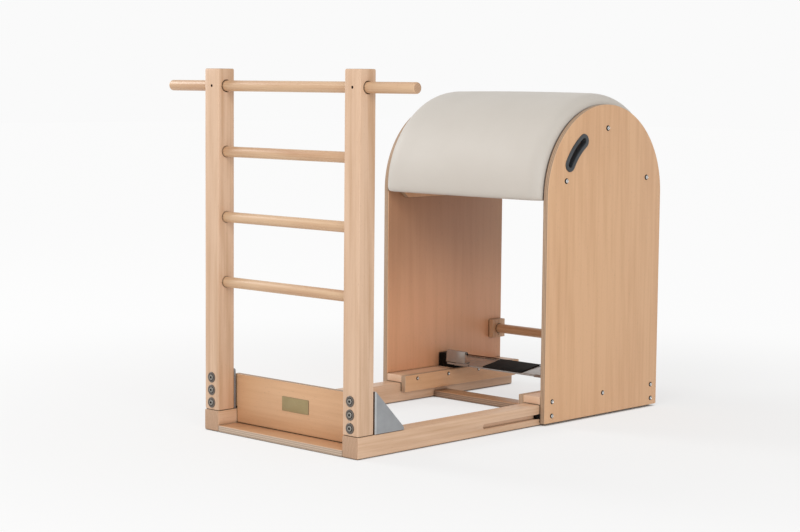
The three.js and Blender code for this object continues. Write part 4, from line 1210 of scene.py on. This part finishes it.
class BARREL_OT_runners(bpy.types.Operator):
    """Shape the runners and the planks beside the rails, and paint the guides in their slots"""
    bl_idname = "barrel.runners"
    bl_label = "Runners, planks and guides"

    def execute(self, context):
        low, high = box_of("runner_board_right")
        shoe_low, shoe_high = box_of("brake_shoe_rubber_right")
        rail_top, press, play = 0.056, math.radians(8), 0.0025
        swing = (shaft.z - rail_top) * math.sin(press)
        window = block("cutter", (shoe_low.x - play, shoe_low.y - play, low.z - OVER),
                       (shoe_high.x + play, shoe_high.y + swing + play, high.z + OVER))
        runner = cut(board("runner", low, high, 0.002), window)
        both_sides(runner, timber_of("pale maple", "Y"), "barrel_carriage", "maple", "runner_board")
        low, high = box_of("inner_plank_right")
        heel = 0.022
        plank = plate("guide_plank", [
            (low.y, low.z), *arc(high.y - heel, low.z + heel, heel, -90, 0, 8), (high.y, high.z),
            (low.y, high.z)], "X", low.x, high.x)
        round_edges(plank, sharp(50), sizes().board_round, 3)
        paint = ply_paint("plywood of the planks", "Y", "X", low.x, high.x - low.x)
        both_sides(plank, paint, "barrel_carriage", "plywood", "inner_plank")
        for side, _ in SIDES:
            for place in ("front", "rear"):
                repaint(f"slot_guide_{place}_{side}", coat("black nylon"))
        return {"FINISHED"}


class BARREL_OT_rear_dowel(bpy.types.Operator):
    """Turn the rear dowel and bore its sockets"""
    bl_idname = "barrel.rear_dowel"
    bl_label = "Rear dowel"

    def execute(self, context):
        low, high = box_of("rear_dowel")
        centre, radius = middle_of("rear_dowel"), (high.z - low.z) / 2 + 0.0004
        piece = round_bar("round_rear_dowel", "rear_dowel", 0.001, 2)
        seat(piece, timber_of("beech", "X"), "barrel_carriage", "beech", "rear_dowel")
        low, high = box_of("dowel_socket_right")
        socket = board("socket_block", low, high, 0.0015)
        depth = high.x - low.x + OVER
        cut(socket, bore(radius, depth, (low.x, centre.y, centre.z), "X", 64, 0.001, 0.001),
            bore(0.0017, 0.006, (low.x, centre.y - 0.002, low.z + 0.009), "X"))
        both_sides(socket, timber_of("beech", "Z"), "barrel_carriage", "beech", "dowel_socket")
        return {"FINISHED"}


# Pedal


def at_pivot(corners):
    """Corners in millimetres from the pivot, as places in the frame."""
    return [(shaft.y + y / 1000, shaft.z + z / 1000) for y, z in corners]


class BARREL_OT_pivots(bpy.types.Operator):
    """Shape the shaft, the blocks that carry it and the springs round it"""
    bl_idname = "barrel.pivots"
    bl_label = "Pivot blocks, shaft and springs"

    def execute(self, context):
        low, high = box_of("pivot_block_right")
        carrier = board("pivot_carrier", low, high, 0.002)
        depth = high.x - low.x + OVER
        cut(carrier, bore(0.00645, depth, (low.x, shaft.y, shaft.z), "X", 48, 0.00095, 0.0009))
        both_sides(carrier, coat("black nylon"), "barrel_carriage", "black_nylon", "pivot_block")
        rod = round_bar("steel_shaft", "pivot_shaft", 0.0008, 3, 48)
        seat(rod, coat("zinc plate"), "foot_pedal", "zinc_steel", "pivot_shaft")
        self.wind_springs()
        return {"FINISHED"}

    def wind_springs(self):
        """Winds each torsion spring: foot on the plank, coil round the shaft, hook in the pedal's cheek."""
        wire_size, gap, leg, steps = 0.0024, 0.0006, 0.03, 120
        windings, hook_angle = 4, math.radians(19)
        radius = 0.00755 / math.cos(math.pi / 8)
        drop = shaft.z - box_of("runner_board_right")[1].z - wire_size / 2 - 0.0003
        fixed = math.acos(drop / math.hypot(leg, radius)) - math.atan(radius / leg)
        moving = QUARTER + hook_angle
        swept = moving - fixed + windings * 2 * math.pi
        x0 = box_of("pivot_block_right")[0].x - wire_size / 2 - 0.0004
        x1 = x0 - swept / (2 * math.pi) * (wire_size + gap)
        foot_y = radius * math.cos(fixed) + leg * math.sin(fixed)
        hook_y = radius * math.cos(moving) - leg * math.sin(moving)
        hook_z = radius * math.sin(moving) + leg * math.cos(moving)
        foot = [(x0, foot_y + 0.007, -drop), (x0, foot_y + 0.002, -drop),
                (x0, foot_y - 0.0005, -drop + 0.002)]
        coil = [(x0 + (x1 - x0) * step / steps, radius * math.cos(fixed + swept * step / steps),
                 radius * math.sin(fixed + swept * step / steps)) for step in range(steps + 1)]
        hook = [(x1, hook_y + 0.003 * math.sin(moving), hook_z - 0.003 * math.cos(moving)),
                (x1 - 0.0025, hook_y, hook_z), (x1 - 0.007, hook_y, hook_z)]
        path = foot + coil + hook
        line = bpy.data.curves.new("spring_wire", "CURVE")
        line.dimensions = "3D"
        line.bevel_depth = wire_size / 2
        line.bevel_resolution = 3
        line.use_fill_caps = True
        spline = line.splines.new("POLY")
        spline.points.add(len(path) - 1)
        for point, (x, y, z) in zip(spline.points, path):
            point.co = (x, shaft.y + y, shaft.z + z, 1)
        make_active(in_scene("wound_spring", line))
        bpy.ops.object.convert(target="MESH")
        both_sides(bpy.context.object, coat("zinc plate"), "foot_pedal", "zinc_steel", "pedal_spring",
                   smooth=60)


class BARREL_OT_foot_pedal(bpy.types.Operator):
    """Fold the foot pedal with its cheeks and brake arms"""
    bl_idname = "barrel.foot_pedal"
    bl_label = "Foot pedal"

    def execute(self, context):
        half, sheet, arm_x = 0.215, 0.0025, box_of("foot_pedal")[1].x
        tread = folded("steel_foot_pedal", at_pivot([
            (-78.25, 10), (-78.25, 12.75), (8.75, 12.75), (8.75, -1)]),
            -half, half, sheet, sizes().fold_round)
        # The steel hem along the pedal's rear edge is made black: painted shade and reflection of the dark
        # line there.
        hem = plate("pedal_rear_trim", at_pivot([(8.75, 14.05), (10, 14.05), (10, 16.6), (8.75, 16.6)]),
                    "X", -half, half)
        round_edges(hem, sharp(50), 0.0003, 2)
        ear = at_pivot([(8.75, 12), (-77, 12), (-77, 11), *arc(0, 0, 12, -135, -30, 12), (8.75, 0)])
        ears = [plate("ear", ear, "X", x0, x0 + sheet) for x0 in (half - sheet, -half)]
        whole = gathered("steel_foot_pedal", [tread, *ears])
        lean(whole)
        lean(hem)
        seat(hem, coat("black rubber"), "foot_pedal", "black_rubber")
        _, holder = box_of("brake_shoe_holder_right")
        under, rear = holder.z, holder.y + 0.004
        front = rear - 0.048
        lever = [
            (shaft.y - 0.006, shaft.z - 0.006), (shaft.y, shaft.z - 0.012), (front, under),
            (rear, under), (rear, under + 0.004), (front + 0.004, under + 0.013),
            (shaft.y + 0.012, shaft.z + 0.006)]
        arm = [(rear - 0.002, under + 0.002), (front + 0.002, under + 0.002),
               (front + 0.002, under + 0.026)]
        parts = [whole]
        for sign in (1, -1):
            parts.append(plate("lever", lever, "X", *sorted((sign * (half - sheet), sign * half))))
            ends = sorted((sign * (half - sheet), sign * arm_x))
            parts.append(folded("arm", arm, *ends, 0.004, 0.003))
        whole = gathered("steel_foot_pedal", parts)
        seat(whole, coat("bare steel"), "foot_pedal", "bare_steel", "foot_pedal")
        return {"FINISHED"}


class BARREL_OT_guards(bpy.types.Operator):
    """Fold the steel guard at each end of the pedal, with its flared lip"""
    bl_idname = "barrel.guards"
    bl_label = "Pedal end guards"

    def execute(self, context):
        x0, x1 = 0.1455, 0.2195
        foot, front, back, roll, sheet = 14.3, -77.0, 6.0, 4.4, 2.0
        top, roll_y = foot + 32, front + back + roll
        shield = plate("pedal_guard", at_pivot([
            (front + 22, foot + sheet), (front + 22, foot), *arc(front + 3, foot + 3, 3, 270, 180, 5),
            *arc(roll_y, top, roll, 180, -100, 24), *arc(roll_y, top, roll - sheet, -100, 180, 24),
            *arc(front + 3, foot + 3, 1, 180, 270, 3)]), "X", x0, x1)
        round_edges(shield, at("X", x0, x1), 0.0004, 2)
        lip = folded("lip", at_pivot([
            (front + sheet, foot + 1), (front - 1.2, foot + 1), (front - 9, foot - 3)]),
            x0 - 0.017, x0 + 0.033, 0.0019, 0.002)
        guard = gathered("pedal_guard", [shield, lip])
        lean(guard)
        both_sides(guard, coat("bare steel"), "foot_pedal", "bare_steel", "pedal_end_guard")
        return {"FINISHED"}


class BARREL_OT_grip(bpy.types.Operator):
    """Shape the rubber grip on the pedal, and the brake shoes under its arms"""
    bl_idname = "barrel.grip"
    bl_label = "Grip and brake shoes"

    def execute(self, context):
        half, low = 0.0737, shaft.z + 0.0143
        top = low + 0.0027
        grip = block("rubber_grip", (-half, shaft.y - 0.0788, low), (half, shaft.y + 0.00805, top))
        round_edges(grip, along("Z"), 0.0015, 3)
        round_edges(grip, at("Z", top), 0.0006, 2)
        lean(grip)
        seat(grip, coat("black rubber"), "foot_pedal", "black_rubber", "pedal_grip")
        for part, finish, edge in (("holder", "black nylon", 0.0008), ("rubber", "black rubber", 0.0015)):
            shoe = board(f"shoe_{part}", *box_of(f"brake_shoe_{part}_right"), edge)
            both_sides(shoe, coat(finish), "foot_pedal", finish.replace(" ", "_"), f"brake_shoe_{part}")
        return {"FINISHED"}


# Each screw has its distance behind the panel's front edge, its height, and its size beside the largest
PANEL_SCREWS = (
    (0.2565, 0.8108, 1.0), (0.0775, 0.6686, 1.0), (0.4388, 0.6684, 1.0), (0.0312, 0.0646, 0.85),
    (0.0305, 0.0252, 0.85), (0.2548, 0.0647, 0.85), (0.4790, 0.0645, 0.85), (0.4804, 0.0240, 0.85),
)
PLANK_SCREWS = ((0.0501, 0.067, 0.7), (0.1847, 0.067, 0.7), (0.3199, 0.067, 0.7))

# Profile of a screw's head in its cup washer, as shares of the washer's radius and height
SCREW_HEAD = (
    (0.93, 0.55), (0.82, 0.9), (0.72, 1.0), (0.64, 0.8), (0.60, 0.45), (0.56, 0.8), (0.44, 1.05),
    (0.24, 1.15), (0.20, 0.4),
)


class BARREL_OT_screws(bpy.types.Operator):
    """Turn the bright screws of the panels and planks, in their cup washers"""
    bl_idname = "barrel.screws"
    bl_label = "Wood screws"

    def execute(self, context):
        plank = box_of("inner_plank_right")[0].x
        for name, face, way, screws in (("panel_screws", panel_outer, 1, PANEL_SCREWS),
                                        ("plank_screws", plank, -1, PLANK_SCREWS)):
            spots = [(panel_low.y + y, z, scale) for y, z, scale in screws]
            heads = [self.head(face, way, *spot) for spot in spots]
            both_sides(gathered(name, heads), coat("bright plate of the screws"), "barrel_carriage",
                       "zinc_steel")
            for side, _ in SIDES:
                touch_up(f"{side}_{name}", [coat("dull zinc plate"), coat("dark recess")],
                         lambda part: self.layer(part.center, spots))
        return {"FINISHED"}

    def head(self, x, way, y, z, scale):
        """A raised countersunk head in its cup washer, on a face that looks along X."""
        rim, rise = sizes().cup_washer / 2 * scale, sizes().cup_rise * scale
        profile = [(rim, -0.0004 * way), (rim, 0.0003 * way)]
        profile += [(rim * across, rise * out * way) for across, out in SCREW_HEAD]
        return turned("screw", profile, (x, y, z), "X", 32)

    def layer(self, place, spots):
        """Painted shade on the washers' rims and in the heads' recesses, and a dull zinc ring of painted
        shade in the groove round each head.
        """
        rim = sizes().cup_washer / 2
        recess, ring_starts, ring_ends, washer = 0.24, 0.54, 0.64, 0.75
        out = min(math.hypot(place.y - y, place.z - z) / (rim * scale) for y, z, scale in spots)
        return 2 if out > washer or out < recess else ring_starts < out < ring_ends


# Stage

# Each lamp has its place, its width and the setting that gives its power
LAMPS = (
    ("key_lamp", (1.2, -3.6, 3.6), 2.6, "key"), ("side_lamp", (7.0, -3.4, 2.7), 3.6, "fill"),
    ("left_lamp", (-4.4, -1.5, 2.8), 2.2, "left"),
)
LAMPS_AIM = Vector((0, 0, 0.45))
CAMERA_PLACE = (3.58527, -3.87520, 0.93407)
CAMERA_TURNS = (0.7686, 0.0967, 0.0089)  # to the left, downwards, and about its own line of sight


def seen_rays(tree):
    """One where the camera looks, by mirror and glass too, and nought for the light's own bounces."""
    path = tree.nodes.new("ShaderNodeLightPath").outputs
    return calc(tree, "MAXIMUM", path["Is Camera Ray"],
                calc(tree, "MAXIMUM", path["Is Glossy Ray"], path["Is Transmission Ray"]))


def put_out(tree, kind, factor, first, second):
    """Puts a mix of two shaders on an output."""
    both = add(tree, "ShaderNodeMixShader", {0: factor, 1: first.outputs[0], 2: second.outputs[0]})
    add(tree, kind, {"Surface": both.outputs[0]})


class BARREL_OT_stage(bpy.types.Operator):
    """Set the pale floor, the soft lamps and the camera"""
    bl_idname = "barrel.stage"
    bl_label = "Stage"

    def execute(self, context):
        studio = context.scene.barrel_studio
        self.lay_floor(studio)
        self.light(context, studio)
        self.aim(context, studio)
        context.scene.view_settings.view_transform = "Standard"
        return {"FINISHED"}

    def lay_floor(self, studio):
        """A wide pale floor: the camera sees the backdrop's colour there, with the object's shadow."""
        deselect_everything()
        bpy.ops.mesh.primitive_plane_add(size=60, location=(0, 0, -0.0006))
        floor = bpy.context.object
        floor.name = "pale_floor"
        settle(floor)
        paint = bpy.data.materials.new("pale floor")
        paint.use_nodes = True
        tree = paint.node_tree
        tree.nodes.clear()
        place = tree.nodes.new("ShaderNodeTexCoord").outputs["Object"]
        away = add(tree, "ShaderNodeVectorMath", {0: place}, operation="LENGTH").outputs["Value"]
        close, far = 0.6, 2.4
        near = add(tree, "ShaderNodeAmbientOcclusion", {"Distance": 0.025}, samples=8).outputs["AO"]
        matt = add(tree, "ShaderNodeBsdfDiffuse", {"Color": (0.95, 0.95, 0.95)})
        # The floor's glow is dimmed near the object: a painted shade round its foot.
        seen = add(tree, "ShaderNodeEmission", {
            "Color": studio.backdrop, "Strength": ranged(tree, away, close, far, 0.975, 1.03)})
        steady = times(tree, ranged(tree, away, close, far, 0.7, 0.95),
                      ranged(tree, near, 0.15, 0.8))
        bounce = ranged(tree, seen_rays(tree), 0.0, 1.0, 0.35, 1.0)
        put_out(tree, "ShaderNodeOutputMaterial", times(tree, bounce, steady), matt, seen)
        floor.data.materials.append(paint)

    def light(self, context, studio):
        """Even light all round, a backdrop that only the camera sees, and the soft lamps."""
        world = bpy.data.worlds.new("studio")
        context.scene.world = world
        world.use_nodes = True
        tree = world.node_tree
        tree.nodes.clear()
        even = add(tree, "ShaderNodeBackground", {"Color": (1.0, 0.985, 0.965), "Strength": studio.world})
        seen = add(tree, "ShaderNodeBackground", {"Color": studio.backdrop, "Strength": 1.0})
        put_out(tree, "ShaderNodeOutputWorld", seen_rays(tree), even, seen)
        for name, place, width, power in LAMPS:
            lamp = bpy.data.lights.new(name, "AREA")
            lamp.shape = "DISK"
            lamp.size = width
            lamp.energy = getattr(studio, power)
            holder = in_scene(name, lamp)
            holder.location = place
            holder.rotation_euler = (LAMPS_AIM - Vector(place)).to_track_quat("-Z", "Y").to_euler()

    def aim(self, context, studio):
        """The camera stands where the photograph was taken from."""
        yaw, pitch, roll = CAMERA_TURNS
        ahead = Vector((-math.sin(yaw) * math.cos(pitch), math.cos(yaw) * math.cos(pitch),
                        -math.sin(pitch)))
        level = Vector((math.cos(yaw), math.sin(yaw), 0))
        above = level.cross(ahead)
        right = math.cos(roll) * level + math.sin(roll) * above
        up = math.cos(roll) * above - math.sin(roll) * level
        lens = bpy.data.cameras.new("camera")
        lens.sensor_width = 36
        lens.lens = studio.lens
        lens.clip_end = 100
        camera = in_scene("camera", lens)
        turn = Matrix((right, up, -ahead)).transposed().to_4x4()
        camera.matrix_world = Matrix.Translation(CAMERA_PLACE) @ turn
        context.scene.camera = camera


PIECES = (
    BARREL_OT_uprights, BARREL_OT_top_bar, BARREL_OT_rungs, BARREL_OT_bolts, BARREL_OT_brackets,
    BARREL_OT_rails, BARREL_OT_boards, BARREL_OT_kick_panel, BARREL_OT_side_panels, BARREL_OT_grommets,
    BARREL_OT_formers, BARREL_OT_pad, BARREL_OT_runners, BARREL_OT_rear_dowel, BARREL_OT_pivots,
    BARREL_OT_foot_pedal, BARREL_OT_guards, BARREL_OT_grip, BARREL_OT_screws, BARREL_OT_stage,
)
SETTINGS = (
    ("barrel_sizes", BarrelSizes), ("barrel_finishes", BarrelFinishes), ("barrel_studio", BarrelStudio),
)


class BARREL_PT_pieces(bpy.types.Panel):
    """Lists the sizes, finishes and pieces of the ladder barrel"""
    bl_idname = "BARREL_PT_pieces"
    bl_label = "Ladder Barrel"
    bl_space_type = "VIEW_3D"
    bl_region_type = "UI"
    bl_category = "Ladder Barrel"

    def draw(self, context):
        for name, kind in SETTINGS:
            box = self.layout.box()
            box.label(text=kind.__doc__)
            for key in kind.__annotations__:
                box.prop(getattr(context.scene, name), key)
        for operator in PIECES:
            self.layout.operator(operator.bl_idname)


def register():
    for name, kind in SETTINGS:
        bpy.utils.register_class(kind)
        setattr(bpy.types.Scene, name, bpy.props.PointerProperty(type=kind))
    for kind in (*PIECES, BARREL_PT_pieces):
        bpy.utils.register_class(kind)


def unregister():
    for kind in reversed((*PIECES, BARREL_PT_pieces)):
        bpy.utils.unregister_class(kind)
    for name, kind in reversed(SETTINGS):
        delattr(bpy.types.Scene, name)
        bpy.utils.unregister_class(kind)


def main():
    register()
    for operator in PIECES:
        group, name = operator.bl_idname.split(".")
        getattr(getattr(bpy.ops, group), name)()


if __name__ == "__main__":
    main()
